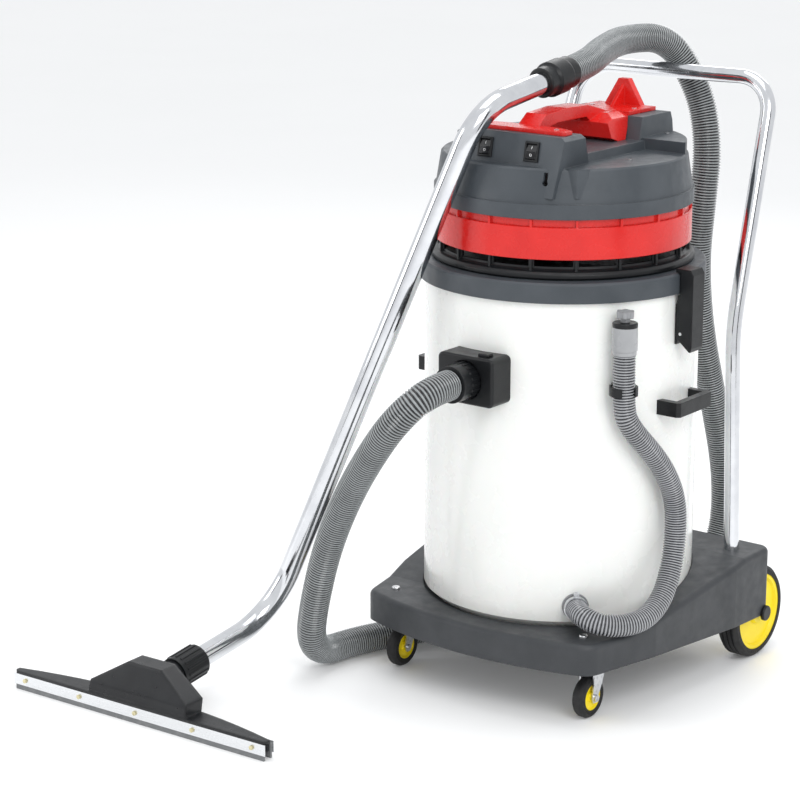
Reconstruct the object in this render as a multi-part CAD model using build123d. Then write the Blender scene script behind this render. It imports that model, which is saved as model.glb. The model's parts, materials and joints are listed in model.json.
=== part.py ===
from build123d import *
import os
from math import atan2, cos, pi, radians, sin, sqrt, tan

# Twin-motor wet and dry shop vacuum on a wheeled trolley.
# Millimetres, +Z up, floor at Z = 0, tank axis on X = Y = 0, front casters and hose inlet towards -Y.

# ---- general clearances ----
RUN = 0.05            # radial clearance of a shaft or pin in its bore
GAP = 0.4             # free gap between pieces that move past each other
SEAT = 0.1            # gap between fixed pieces with curved mating faces

# ---- tank ----
TANK_R = 220
TANK_WALL = 4
TANK_BASE_Z = 130
TANK_HEIGHT = 550
TANK_RIM_Z = TANK_BASE_Z + TANK_HEIGHT
TANK_CORNER = 14

# ---- rear wheels and axle ----
REAR_R = 77.5
REAR_WIDTH = 38
REAR_HUB_R = REAR_R - 13.5
AXLE_R = 6
WELL_GAP = 6
CAP_R = 13

# ---- trolley ----
DECK_WALL = 5
DECK_TOP_Z = TANK_BASE_Z + 7
DECK_REAR_Z = 2 * REAR_R + 35
DECK_SKIRT_Z = 88
DECK_SKIRT_REAR_Z = 74
DECK_FRONT_HALF = TANK_R - 2
DECK_MID_HALF = TANK_R + 30
DECK_REAR_HALF = TANK_R + 50
DECK_FRONT_Y = -TANK_R - 9
DECK_BOW = 38
DECK_MID_Y = -91
DECK_STRAIGHT_Y = 120
DECK_REAR_Y = TANK_R + 16
DECK_EDGE_R = 9
SLOPE_START_Y = -150
SLOPE_END_Y = 150
SEAT_GAP = 1.0
AXLE_RIB_LOW_Z = REAR_R - AXLE_R - 11.5
REAR_WHEEL_X = DECK_REAR_HALF - DECK_WALL - 4 - REAR_WIDTH / 2
AXLE_Y = DECK_REAR_Y - 19

# ---- casters ----
CASTER_R = 34
CASTER_WIDTH = 20
CASTER_HUB_R = CASTER_R - 13
CASTER_PIN_R = 4
CASTER_TRAIL = 12
FORK_PLATE = 3
FORK_TOP_Z = 2 * CASTER_R + 9
FORK_PLATE_R = 20
STEM_R = 6
CASTER_PLATE_Z = FORK_TOP_Z + 5
CASTER_PLATE_T = 3
CASTER_PLATE_R = 26
CASTER_X = DECK_FRONT_HALF - 34
CASTER_STEM_Y = DECK_FRONT_Y + 60
DECK_SCREW_Y = CASTER_STEM_Y - 28
DECK_SCREW_R = 3.2
SCREW_HEAD_R = 7

# ---- push handle ----
HANDLE_R = 12.5
HANDLE_WALL = 1.5
HANDLE_FOOT = (TANK_R + 5, DECK_REAR_Y - 56, 2 * REAR_R + WELL_GAP + 5)
HANDLE_KINK = (TANK_R - 15, DECK_REAR_Y - 43, 556)
HANDLE_TOP = (TANK_R - 34, DECK_REAR_Y + 91, 947)
HANDLE_KINK_R = 260
HANDLE_CORNER_R = 62

# ---- lid and motor head ----
RING_R = TANK_R + 8.5
RING_WALL = 4
RING_LOW_Z = TANK_RIM_Z - 24.5
RING_TOP_Z = TANK_RIM_Z + 7.3
VENT_R = TANK_R - 24
VENT_WALL = 4
VENT_BULGE_R = VENT_R + 13
VENT_SLOT_COUNT = 18
RING_INNER_R = VENT_R - 11
BAND_R = VENT_R + 7.5
BAND_LOW_Z = RING_TOP_Z + 30.7
BAND_HEIGHT = 49
BAND_TOP_Z = BAND_LOW_Z + BAND_HEIGHT
COVER_LOW_Z = BAND_TOP_Z + 13
COVER_R = VENT_R + 10
COVER_LIP_Z = COVER_LOW_Z + 23
COVER_TOP_R = COVER_R - 12
COVER_FLAT_Z = COVER_LOW_Z + 76
COVER_WALL = 4
SADDLE_Z = COVER_FLAT_Z + 14
STEP_Z = COVER_FLAT_Z + 18
CONSOLE_TOP_Z = COVER_FLAT_Z + 47
REAR_BLOCK_Z = COVER_FLAT_Z + 49
HEAD_SHIFT_X = 12
CONSOLE_HALF_LOW = 90
CONSOLE_HALF_TOP = 100
CONSOLE_LOW_Y = 12 - COVER_TOP_R
CONSOLE_TOP_Y = CONSOLE_LOW_Y + 18
CONSOLE_LOW_Z = COVER_LOW_Z + 32
REAR_HALF = 81
REAR_BLOCK_Y = COVER_TOP_R - 18
SADDLE_HALF = 90

GLAND_R = 9
GLAND_Z = COVER_LOW_Z + 48

# ---- carrying grip ----
GRIP_PLATE = 6
GRIP_HALF = 19
GRIP_ARCH = 25
HOOK_HEIGHT = 42
COVER_SCREW_R = 1.8
COVER_SCREW_HEAD_R = 4

# ---- switches ----
SWITCH_OFFSET = 43
SWITCH_W = 26
SWITCH_H = 31
SWITCH_RISE = 3
SWITCH_Z = CONSOLE_TOP_Z - 25
SWITCH_RIM = 2
SWITCH_PIN_R = 1.2
ROCKER_W = SWITCH_W - 7.4
ROCKER_H = SWITCH_H - 8.2
ROCKER_REST = -8
WINDOW_MARGIN = 0.7

# ---- motors and float ----
MOTOR_X = 85
FAN_R = 66
FAN_H = 42
MOTOR_R = 46
MOTOR_H = 138.5
MOTOR_WALL = 3
MOTOR_SHAFT_R = 4
INTAKE_R = 26
PLATE_T = 6
PLATE_LOW_Z = RING_TOP_Z + 0.2
MOTOR_LOW_Z = PLATE_LOW_Z + PLATE_T
MOTOR_TOP_Z = MOTOR_LOW_Z + MOTOR_H
CAGE_R = 139
CAGE_LOW_Z = RING_TOP_Z - 115.3
CAGE_WALL = 3
FLOAT_R = CAGE_R - 19
FLOAT_LOW_Z = CAGE_LOW_Z + CAGE_WALL + GAP
FLOAT_H = 25
GUIDE_R = 5

# ---- suction hose and wand ----
HOSE_R = 24
HOSE_BORE_R = HOSE_R - 3.5
WAND_R = 17.5
WAND_WALL = 1.2
WAND_TILT = 7.7
WAND_LOW = (-361, -TANK_R - 83, 84)
WAND_HIGH = (-19, 15 - TANK_R, 940)
WAND_LOW_RUN = 240
WAND_HIGH_RUN = 190
WAND_LOW_R = 112
WAND_HIGH_R = 82
WAND_CUFF_START = 165
WAND_CUFF_END = 240
WAND_CUFF_R = HOSE_R + 4

# ---- inlet ----
INLET_Z = TANK_RIM_Z - 148
INLET_HALF_W = 52
INLET_HALF_H = 38.5
INLET_FACE_Y = -TANK_R - 42
INLET_RECESS = 6
PORT_R = HOSE_R + 1
CUFF_R = HOSE_R + 5
CUFF_END_Y = INLET_FACE_Y - 38
FLANGE_R = PORT_R + 9
BOLT_R = 3
BOLT_HEAD_R = 5.5
BUTTON_X = 27
BUTTON_HALF = 9
BUTTON_DEPTH = 14
BUTTON_RISE = 4.5
BUTTON_TRAVEL = 3

# ---- latches and carrying handles ----
LATCH_HALF = 16.5
LATCH_WALL = 3.5
LATCH_OUT = RING_R + 24.5
LATCH_LOW_Z = RING_LOW_Z - 90.5
LATCH_PIN_X = TANK_R + 12
LATCH_PIN_Z = LATCH_LOW_Z + 27
LATCH_PIN_R = 2.5
HANDLE_OUT = TANK_R + 35
HANDLE_BAR = 12
HANDLE_HALF = 50
HANDLE_HIGH_Z = TANK_RIM_Z - 189
HANDLE_LOW_Z = HANDLE_HIGH_Z - 23

# ---- drain ----
DRAIN_AZ = 41.6
DRAIN_Z = TANK_BASE_Z + 40
DRAIN_HOSE_R = 17.5
DRAIN_BORE_R = DRAIN_HOSE_R - 3
DRAIN_RUN_R = TANK_R + 26
DRAIN_TOP_AZ = 57
DRAIN_CUFF_Z = TANK_RIM_Z - 101
DRAIN_CUFF_R = DRAIN_HOSE_R + 2.5
DRAIN_CUFF_H = 43
DRAIN_CUFF_BORE_R = DRAIN_CUFF_R - 8
PLUG_H = 7
KNOB_STEM_R = 4
CLIP_Z = DRAIN_CUFF_Z - 57
CLIP_HALF_H = 7
CLIP_PLAY = 1.5

# ---- floor tool ----
TOOL_TURN = 2.4
TOOL_REACH = 98.16
TOOL_LENGTH = 516
TOOL_PLATE_Z = 27
TOOL_PLATE_T = 4
TOOL_DEPTH = 46
STRIP_T = 1.5
BLADE_T = 3.5
BLADE_TOP_Z = 25
STRIP_LOW_Z = 9
RIB_T = 4
RIB_LOW_Z = 11
REAR_BLADE_Y = 18
NECK_R = WAND_R + 4.5
NUT_R = NECK_R + 4
NUT_LENGTH = 58
TOOL_SCREW_R = 1.6
TOOL_SCREW_HEAD_R = 3.6
TOOL_SCREW_Z = 18
TOOL_SCREWS = 5


def around(radius, azimuth, z):
    a = radians(azimuth)
    return (radius * sin(a), -radius * cos(a), z)


def drain_rise(share):
    return DRAIN_Z + share * (DRAIN_CUFF_Z - DRAIN_Z)


def wand_end():
    tilt = radians(WAND_TILT)
    return Vector(0, cos(tilt), sin(tilt))


def beyond_wand(distance):
    point = Vector(*WAND_HIGH) + wand_end() * distance
    return (point.X, point.Y, point.Z)


SUCTION_ROUTE = [
    (0, CUFF_END_Y, INLET_Z), (0, CUFF_END_Y - 56, INLET_Z),
    (-36, -384, 490), (-82, -378, 436), (-150, -356, 350), (-212, -338, 243),
    (-250, -328, 132), (-270, -315, 62), (-282, -268, 25), (-275, -205, 24.1), (-250, -135, 24.1),
    (-195, -30, 24.1), (-120, 100, 24.1), (-45, 240, 24.1), (10, 350, 24.1), (24, 436, 40),
    (32, 486, 110), (32, 484, 220), (24, 446, 360), (18, 402, 500), (20, 380, 620),
    (32, 374, 720), (36, 382, 815), (14, 386, 908), (-30, 353, 998), (-56, 250, 1003),
    (-40, 160, 992), beyond_wand(WAND_CUFF_END + 59.7), beyond_wand(WAND_CUFF_END),
]

DRAIN_ROUTE = [
    around(TANK_R + 6, DRAIN_AZ, DRAIN_Z), around(TANK_R + 39, DRAIN_AZ, DRAIN_Z),
    around(TANK_R + 64, 47, DRAIN_Z - 9), around(TANK_R + 67, 55, DRAIN_Z - 14),
    around(TANK_R + 61, 63.5, DRAIN_Z - 10), around(TANK_R + 47, 72, drain_rise(0.029)),
    around(TANK_R + 34, 78.5, drain_rise(0.122)), around(TANK_R + 27, 82.5, drain_rise(0.249)),
    around(DRAIN_RUN_R, 82, drain_rise(0.403)), around(DRAIN_RUN_R, 74, drain_rise(0.555)),
    around(DRAIN_RUN_R, DRAIN_TOP_AZ, drain_rise(0.778)), around(DRAIN_RUN_R, DRAIN_TOP_AZ, DRAIN_CUFF_Z),
]


# ---- helpers ----
def block(x0, x1, y0, y1, z0, z1):
    return Pos((x0 + x1) / 2, (y0 + y1) / 2, (z0 + z1) / 2) * Box(x1 - x0, y1 - y0, z1 - z0)


def disc(radius, z0, z1, x=0, y=0):
    return Pos(x, y, (z0 + z1) / 2) * Cylinder(radius, z1 - z0)


def tube_z(r_out, r_in, z0, z1, x=0, y=0):
    return disc(r_out, z0, z1, x, y) - disc(r_in, z0 - 1, z1 + 1, x, y)


def rod_x(radius, x0, x1, y, z):
    return Pos((x0 + x1) / 2, y, z) * Rot(0, 90, 0) * Cylinder(radius, abs(x1 - x0))


def rod_y(radius, y0, y1, x, z):
    return Pos(x, (y0 + y1) / 2, z) * Rot(90, 0, 0) * Cylinder(radius, abs(y1 - y0))


def rod_along(radius, start, direction, s0, s1):
    plane = Plane(origin=Vector(*start) + Vector(*direction) * s0, z_dir=direction)
    return extrude(plane * Circle(radius), amount=s1 - s0)


def turned(points):
    return revolve(Plane.XZ * make_face(Polyline(*points, close=True)), Axis.Z)


def prism_x(points, x0, x1):
    face = Plane(origin=(x0, 0, 0), x_dir=(0, 1, 0), z_dir=(1, 0, 0)) * make_face(
        Polyline(*points, close=True))
    return extrude(face, amount=x1 - x0)


def prism_y(points, y0, y1):
    face = Plane(origin=(0, y0, 0), x_dir=(1, 0, 0), z_dir=(0, -1, 0)) * make_face(
        Polyline(*points, close=True))
    return extrude(face, amount=-(y1 - y0))


def prism_z(points, z0, z1):
    return extrude(Pos(0, 0, z0) * make_face(Polyline(*points, close=True)), amount=z1 - z0)


def ray(azimuth):
    return (sin(radians(azimuth)), -cos(radians(azimuth)), 0)


def at_azimuth(azimuth):
    return Rot(0, 0, azimuth)


def corner_radii(points):
    radii = []
    for before, here, after in zip(points, points[1:], points[2:]):
        run_in = Vector(*here) - Vector(*before)
        run_out = Vector(*after) - Vector(*here)
        turn = radians(run_in.get_angle(run_out))
        radii.append(0.45 * min(run_in.length, run_out.length) / tan(turn / 2))
    return radii


def piped(path, r_out, r_in):
    plane = Plane(origin=path @ 0, z_dir=path % 0)
    return sweep(plane * (Circle(r_out) - Circle(r_in)), path=path)


def hose(points, r_out, r_in, label):
    radii = corner_radii(points)
    path = FilletPolyline(*points, radius=radii)
    solid = piped(path, r_out, r_in)
    expected = pi * (r_out ** 2 - r_in ** 2) * path.length
    print(label, "length", round(path.length), "radii", [round(r) for r in radii])
    print(label, "volume over section x length", round(solid.volume / expected, 4))
    return solid


def mirrored(shape):
    return mirror(shape, about=Plane.YZ)


def both_sides(shape):
    return Compound(children=[shape, mirrored(shape)])


# ---- trolley ----
def deck_outline(inset):
    front = DECK_FRONT_Y + inset
    rear = DECK_REAR_Y - inset
    half_front = DECK_FRONT_HALF - inset
    half_mid = DECK_MID_HALF - inset
    half_rear = DECK_REAR_HALF - inset
    right = [(half_front, front), (half_mid, DECK_MID_Y), (half_rear, DECK_STRAIGHT_Y), (half_rear, rear)]
    left = [(-x, y) for x, y in reversed(right)]
    bow = ThreePointArc(left[-1], (0, front - DECK_BOW), right[0])
    sides = Polyline(*right, *left)
    face = make_face([bow, sides])
    front_corners = face.vertices().filter_by(lambda v: v.Y < DECK_MID_Y - 20)
    face = fillet(front_corners, 30 - inset)
    rear_corners = face.vertices().filter_by(lambda v: v.Y > DECK_STRAIGHT_Y + 20)
    return fillet(rear_corners, 20 - inset)


def deck_block(inset, lift):
    body = extrude(Pos(0, 0, 40) * deck_outline(inset), amount=DECK_REAR_Z + 60)
    far = 500
    above = [(-far, DECK_TOP_Z - lift), (SLOPE_START_Y, DECK_TOP_Z - lift),
             (SLOPE_END_Y, DECK_REAR_Z - lift), (far, DECK_REAR_Z - lift), (far, far), (-far, far)]
    return body - prism_x(above, -far, far)


def skirt_cut():
    far = 500
    below = [(-far, -far), (far, -far), (far, DECK_SKIRT_REAR_Z), (DECK_REAR_Y, DECK_SKIRT_REAR_Z),
             (DECK_MID_Y, DECK_SKIRT_Z), (-far, DECK_SKIRT_Z)]
    return prism_x(below, -far, far)


def leg_direction():
    run = Vector(*HANDLE_KINK) - Vector(*HANDLE_FOOT)
    return (run.X, run.Y, run.Z)


def trolley_deck():
    outside = deck_block(0, 0)
    top_edges = outside.edges().filter_by(lambda e: e.center().Z > DECK_TOP_Z - 1)
    outside = fillet(top_edges, DECK_EDGE_R)
    shell = outside - deck_block(DECK_WALL, DECK_WALL)
    seat_r = TANK_R + SEAT_GAP
    shell = shell + (disc(seat_r + DECK_WALL, TANK_BASE_Z - DECK_WALL, DECK_REAR_Z) & outside)
    shell = shell - disc(seat_r, TANK_BASE_Z, DECK_REAR_Z + 10)
    shell = shell - skirt_cut()
    half_hub = REAR_WIDTH / 2
    for side in (-1, 1):
        x = side * CASTER_X
        plate_top = CASTER_PLATE_Z + CASTER_PLATE_T
        pad = disc(CASTER_PLATE_R + 1, plate_top, DECK_TOP_Z - 2, x, CASTER_STEM_Y)
        ear = disc(12, plate_top, DECK_TOP_Z - 2, x, DECK_SCREW_Y)
        rib_x = side * (REAR_WHEEL_X - half_hub - 14)
        rib = block(rib_x - 4, rib_x + 4, AXLE_Y - 30, DECK_REAR_Y - 2, AXLE_RIB_LOW_Z, DECK_REAR_Z - 2)
        foot_x, foot_y, foot_z = HANDLE_FOOT
        socket = disc(HANDLE_R + 5, foot_z - 12, DECK_REAR_Z - 2, side * foot_x, foot_y)
        extra = pad + ear + rib + socket
        shell = shell + (extra - disc(seat_r, TANK_BASE_Z, 300))
    for side in (-1, 1):
        inner = side * (REAR_WHEEL_X - half_hub - WELL_GAP)
        outer = side * (DECK_REAR_HALF - DECK_WALL)
        top = 2 * REAR_R + WELL_GAP
        front = AXLE_Y - REAR_R - WELL_GAP
        shell = shell - block(min(inner, outer), max(inner, outer), front, 400, 20, top)
        shell = shell - disc(DECK_SCREW_R + 0.1, 60, DECK_TOP_Z + 20, side * CASTER_X, DECK_SCREW_Y)
    bore = rod_along(HANDLE_R + SEAT, HANDLE_FOOT, leg_direction(), 0, 90)
    shell = shell - bore - mirrored(bore)
    return shell - rod_x(AXLE_R + RUN, -400, 400, AXLE_Y, REAR_R)


def rear_axle():
    return rod_x(AXLE_R, -DECK_REAR_HALF, DECK_REAR_HALF, AXLE_Y, REAR_R)


def axle_caps():
    cap = rod_x(CAP_R, DECK_REAR_HALF, DECK_REAR_HALF + 6, AXLE_Y, REAR_R)
    return both_sides(fillet(cap.edges().sort_by(Axis.X)[-1], 2.5))


def rear_hub(side):
    half = REAR_WIDTH / 2 - 1.5
    outline = [(AXLE_R + RUN, -half - 1), (17, -half - 1), (20, -half + 7), (REAR_HUB_R - 12, -half + 7),
               (REAR_HUB_R - 8, -half), (REAR_HUB_R, -half), (REAR_HUB_R, half), (REAR_HUB_R - 6, half),
               (REAR_HUB_R - 9, half - 5), (22, half - 5), (19, half + 1), (AXLE_R + RUN, half + 1)]
    return Pos(side * REAR_WHEEL_X, AXLE_Y, REAR_R) * Rot(0, side * 90, 0) * turned(outline)


def rear_tyre(side):
    half = REAR_WIDTH / 2
    tread = REAR_R - 2.5
    points = [(REAR_HUB_R, -half), (REAR_R - 6, -half), (REAR_R, -half + 6)]
    grooves = 3
    pitch = (REAR_WIDTH - 12) / grooves
    for index in range(grooves):
        left = -half + 6 + pitch * (index + 0.35)
        points += [(REAR_R, left), (tread, left + 1), (tread, left + 2), (REAR_R, left + 3)]
    points += [(REAR_R, half - 6), (REAR_R - 6, half), (REAR_HUB_R, half)]
    return Pos(side * REAR_WHEEL_X, AXLE_Y, REAR_R) * Rot(0, side * 90, 0) * turned(points)


def caster_plates():
    x, y = CASTER_X, CASTER_STEM_Y
    plate_top = CASTER_PLATE_Z + CASTER_PLATE_T
    plate = disc(CASTER_PLATE_R, CASTER_PLATE_Z, plate_top, x, y)
    plate = plate + disc(11, CASTER_PLATE_Z, plate_top, x, DECK_SCREW_Y)
    race = disc(FORK_PLATE_R - 1, FORK_TOP_Z + GAP, CASTER_PLATE_Z, x, y)
    head_top = FORK_TOP_Z - FORK_PLATE - GAP
    stem = disc(STEM_R, head_top - 4, CASTER_PLATE_Z, x, y)
    head = disc(STEM_R + 3, head_top - 4, head_top, x, y)
    plate = plate + race + stem + head - disc(DECK_SCREW_R + 0.1, 60, 100, x, DECK_SCREW_Y)
    return both_sides(plate)


def caster_fork(side):
    x, stem_y = side * CASTER_X, CASTER_STEM_Y
    wheel_y = stem_y - CASTER_TRAIL
    inner = CASTER_WIDTH / 2 + 1.2
    outer = inner + FORK_PLATE - 0.5
    top = disc(FORK_PLATE_R, FORK_TOP_Z - FORK_PLATE, FORK_TOP_Z, x, stem_y)
    fork = top - disc(STEM_R + RUN, 0, 100, x, stem_y)
    leg_top = FORK_TOP_Z - 1
    knee_z = FORK_TOP_Z - 22
    leg = [(stem_y - 15, leg_top), (stem_y + 15, leg_top), (stem_y + 8, knee_z), (wheel_y + 8, CASTER_R),
           (wheel_y + 4, CASTER_R - 8), (wheel_y - 4, CASTER_R - 8), (wheel_y - 8, CASTER_R),
           (stem_y - 16, knee_z)]
    for x0, x1 in ((x - outer, x - inner), (x + inner, x + outer)):
        fork = fork + prism_x(leg, x0, x1)
    pin = rod_x(CASTER_PIN_R, x - outer - 3, x + outer + 3, wheel_y, CASTER_R)
    nut = rod_x(6, x + side * outer, x + side * (outer + 4), wheel_y, CASTER_R)
    return fork + pin + nut


def caster_hub(side):
    half = CASTER_WIDTH / 2 - 1
    outline = [(CASTER_PIN_R + RUN, -half - 0.8), (8, -half - 0.8), (9, -half + 2.5),
               (CASTER_HUB_R - 3, -half + 2.5), (CASTER_HUB_R - 1.5, -half), (CASTER_HUB_R, -half),
               (CASTER_HUB_R, half), (CASTER_HUB_R - 1.5, half), (CASTER_HUB_R - 3, half - 2.5),
               (9, half - 2.5), (8, half + 0.8), (CASTER_PIN_R + RUN, half + 0.8)]
    place = Pos(side * CASTER_X, CASTER_STEM_Y - CASTER_TRAIL, CASTER_R)
    return place * Rot(0, 90, 0) * turned(outline)


def caster_tyre(side):
    half = CASTER_WIDTH / 2
    outline = [(CASTER_HUB_R, -half + 0.5), (CASTER_R - 5, -half), (CASTER_R - 1.5, -half + 3),
               (CASTER_R, -4), (CASTER_R, 4), (CASTER_R - 1.5, half - 3), (CASTER_R - 5, half),
               (CASTER_HUB_R, half - 0.5)]
    place = Pos(side * CASTER_X, CASTER_STEM_Y - CASTER_TRAIL, CASTER_R)
    return place * Rot(0, 90, 0) * turned(outline)


def deck_screws():
    x, y = CASTER_X, DECK_SCREW_Y
    head = disc(SCREW_HEAD_R, DECK_TOP_Z, DECK_TOP_Z + 4, x, y)
    head = fillet(head.edges().sort_by(Axis.Z)[-1], 2.5)
    screw = head + disc(DECK_SCREW_R, CASTER_PLATE_Z - 8, DECK_TOP_Z, x, y)
    nut = extrude(Pos(x, y, CASTER_PLATE_Z - 6) * RegularPolygon(6, 6), amount=6)
    return both_sides(screw + nut)


def push_handle():
    right = [HANDLE_FOOT, HANDLE_KINK, HANDLE_TOP]
    left = [(-x, y, z) for x, y, z in reversed(right)]
    radii = [HANDLE_KINK_R, HANDLE_CORNER_R, HANDLE_CORNER_R, HANDLE_KINK_R]
    return piped(FilletPolyline(*right, *left, radius=radii), HANDLE_R, HANDLE_R - HANDLE_WALL)


# ---- tank ----
def inlet_bolt_places():
    x, z = INLET_HALF_W - 9, INLET_HALF_H - 9
    return [(sx * x, INLET_Z + sz * z) for sx in (-1, 1) for sz in (-1, 1)]


def handle_bolt_places():
    mid = (HANDLE_LOW_Z + HANDLE_HIGH_Z) / 2
    return [(sy * (HANDLE_HALF - HANDLE_BAR / 2), mid) for sy in (-1, 1)]


def tank_shell():
    inner = TANK_R - TANK_WALL
    outline = [(0, TANK_BASE_Z), (TANK_R - TANK_CORNER, TANK_BASE_Z), (TANK_R, TANK_BASE_Z + TANK_CORNER),
               (TANK_R, TANK_RIM_Z), (inner, TANK_RIM_Z), (inner, TANK_BASE_Z + TANK_CORNER + 2),
               (inner - TANK_CORNER + 2, TANK_BASE_Z + TANK_WALL), (0, TANK_BASE_Z + TANK_WALL)]
    tank = turned(outline)
    near, far = TANK_R - 30, TANK_R + 20
    tank = tank - rod_y(PORT_R, -far, -near, 0, INLET_Z)
    tank = tank - rod_along(DRAIN_BORE_R + RUN, (0, 0, DRAIN_Z), ray(DRAIN_AZ), near, far)
    for x, z in inlet_bolt_places():
        tank = tank - rod_y(BOLT_R + 0.2, -far, -near, x, z)
    for y, z in handle_bolt_places():
        hole = rod_x(BOLT_R + 0.2, near, far, y, z)
        tank = tank - hole - mirrored(hole)
    return tank


def button_cut(margin):
    x0, x1 = BUTTON_X - BUTTON_HALF - margin, BUTTON_X + BUTTON_HALF + margin
    y0 = INLET_FACE_Y + 10
    floor_z = INLET_Z + INLET_HALF_H - 10.5
    return block(x0, x1, y0 - margin, y0 + BUTTON_DEPTH + margin, floor_z, floor_z + 30)


def inlet_block():
    z0, z1 = INLET_Z - INLET_HALF_H, INLET_Z + INLET_HALF_H
    body = block(-INLET_HALF_W, INLET_HALF_W, INLET_FACE_Y, 30 - TANK_R, z0, z1)
    body = fillet(body.edges().filter_by(Axis.Y), 9)
    body = fillet(body.edges().group_by(Axis.Y)[0], 4)
    body = body - disc(TANK_R + SEAT, z0 - 10, z1 + 10)
    body = body - rod_y(PORT_R, INLET_FACE_Y - 10, 0, 0, INLET_Z)
    body = body - rod_y(CUFF_R + 2, INLET_FACE_Y - 5, INLET_FACE_Y + INLET_RECESS, 0, INLET_Z)
    for x, z in inlet_bolt_places():
        body = body - rod_y(BOLT_R + RUN, INLET_FACE_Y + 14, 0, x, z)
    return body - button_cut(GAP)


def release_button():
    top = INLET_Z + INLET_HALF_H
    low = top - 10.5 + BUTTON_TRAVEL + 0.5
    y0 = INLET_FACE_Y + 10
    left_x = BUTTON_X - BUTTON_HALF
    right_x = BUTTON_X + BUTTON_HALF
    button = block(left_x, right_x, y0, y0 + BUTTON_DEPTH, low, top + BUTTON_RISE)
    return fillet(button.edges().group_by(Axis.Z)[-1], 1.5)


def inlet_deflector():
    mouth_y = 3 - TANK_R
    turn_y = mouth_y + 52
    outlet = (54, turn_y + 23, INLET_Z - 8)
    path = FilletPolyline((0, mouth_y, INLET_Z), (0, turn_y, INLET_Z), outlet, radius=40)
    inside = disc(TANK_R - TANK_WALL - SEAT, INLET_Z - 100, INLET_Z + 100)
    flange = rod_y(FLANGE_R, -TANK_R, 17 - TANK_R, 0, INLET_Z) & inside
    flange = flange - rod_y(PORT_R - 2.5, -TANK_R, 0, 0, INLET_Z)
    return flange + piped(path, PORT_R - SEAT, PORT_R - 2.5)


def tank_bolts():
    bolts = []
    for x, z in inlet_bolt_places():
        y_in = -sqrt((TANK_R - TANK_WALL) ** 2 - (abs(x) + BOLT_HEAD_R) ** 2) + 0.3
        shank = rod_y(BOLT_R, INLET_FACE_Y + 16, y_in + 1, x, z)
        bolts.append(shank + rod_y(BOLT_HEAD_R, y_in, y_in + 5, x, z))
    for y, z in handle_bolt_places():
        x_in = sqrt((TANK_R - TANK_WALL) ** 2 - (abs(y) + BOLT_HEAD_R) ** 2) - 0.3
        bolt = rod_x(BOLT_R, x_in - 1, HANDLE_OUT - 18, y, z) + rod_x(BOLT_HEAD_R, x_in - 5, x_in, y, z)
        bolts += [bolt, mirrored(bolt)]
    return Compound(children=bolts)


def inlet_cuff():
    shoulder_y = INLET_FACE_Y + INLET_RECESS - GAP
    length = shoulder_y - CUFF_END_Y
    cuff = tube_z(PORT_R - RUN, HOSE_BORE_R, -1, 34) + tube_z(CUFF_R, HOSE_BORE_R, -length, 0)
    ribs = 20
    for index in range(ribs):
        rib = block(CUFF_R - 1, CUFF_R + 1.2, -1.8, 1.8, -24, -2)
        cuff = cuff + Rot(0, 0, index * 360 / ribs) * rib
    return Plane(origin=(0, shoulder_y, INLET_Z), x_dir=(1, 0, 0), z_dir=(0, 1, 0)) * cuff


def carry_handles():
    z0, z1 = HANDLE_LOW_Z, HANDLE_HIGH_Z
    outer = block(TANK_R - 40, HANDLE_OUT, -HANDLE_HALF, HANDLE_HALF, z0, z1)
    corner = outer.edges().filter_by(Axis.Z).group_by(Axis.X)[-1]
    outer = chamfer(corner, 5)
    gap_half = HANDLE_HALF - HANDLE_BAR
    inner = block(TANK_R - 70, HANDLE_OUT - HANDLE_BAR, -gap_half, gap_half, z0 - 1, z1 + 1)
    handle = outer - inner - disc(TANK_R + SEAT, z0 - 50, z1 + 50)
    for y, z in handle_bolt_places():
        handle = handle - rod_x(BOLT_R + RUN, TANK_R - 70, HANDLE_OUT - 16, y, z)
    return both_sides(handle)


def latch(side):
    inner = LATCH_OUT - LATCH_WALL
    side_low = TANK_R + 6
    side_high = RING_R + 1.5
    hook_top = RING_TOP_Z + 7
    low = [(side_low, LATCH_PIN_Z - 8), (inner - 1, LATCH_LOW_Z), (LATCH_OUT - 2, LATCH_LOW_Z),
           (LATCH_OUT, LATCH_LOW_Z + 6), (LATCH_OUT, hook_top - 8), (LATCH_OUT - 5, hook_top),
           (side_high - 8, hook_top), (side_high - 8, RING_TOP_Z + 1.2), (side_high, RING_TOP_Z + 1.2),
           (side_high, RING_LOW_Z - 3), (side_low, RING_LOW_Z - 3)]
    face = Plane.XZ * make_face(Polyline(*low, close=True))
    body = extrude(Pos(0, LATCH_HALF, 0) * face, amount=2 * LATCH_HALF)
    half_in = LATCH_HALF - LATCH_WALL
    body = body - block(TANK_R - 20, inner, -half_in, half_in, LATCH_LOW_Z - 5, RING_TOP_Z + 1.2)
    body = body - rod_y(LATCH_PIN_R + RUN, -50, 50, LATCH_PIN_X, LATCH_PIN_Z)
    return body if side > 0 else mirrored(body)


def latch_brackets():
    half = LATCH_HALF - LATCH_WALL - 1
    deep = TANK_R - 20
    plate = block(deep, TANK_R + 3.5, -half, half, LATCH_PIN_Z - 18, RING_LOW_Z - 18)
    lug = [(deep, LATCH_PIN_Z - 8), (LATCH_PIN_X, LATCH_PIN_Z - 6), (LATCH_PIN_X + 6, LATCH_PIN_Z),
           (LATCH_PIN_X + 4, LATCH_PIN_Z + 6), (deep, LATCH_PIN_Z + 14)]
    face = Plane.XZ * make_face(Polyline(*lug, close=True))
    lugs = extrude(Pos(0, half, 0) * face, amount=4)
    lugs = lugs + extrude(Pos(0, -half + 4, 0) * face, amount=4)
    bracket = plate + lugs - disc(TANK_R + SEAT, LATCH_PIN_Z - 60, LATCH_PIN_Z + 100)
    return both_sides(bracket - rod_y(LATCH_PIN_R, -50, 50, LATCH_PIN_X, LATCH_PIN_Z))


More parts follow.
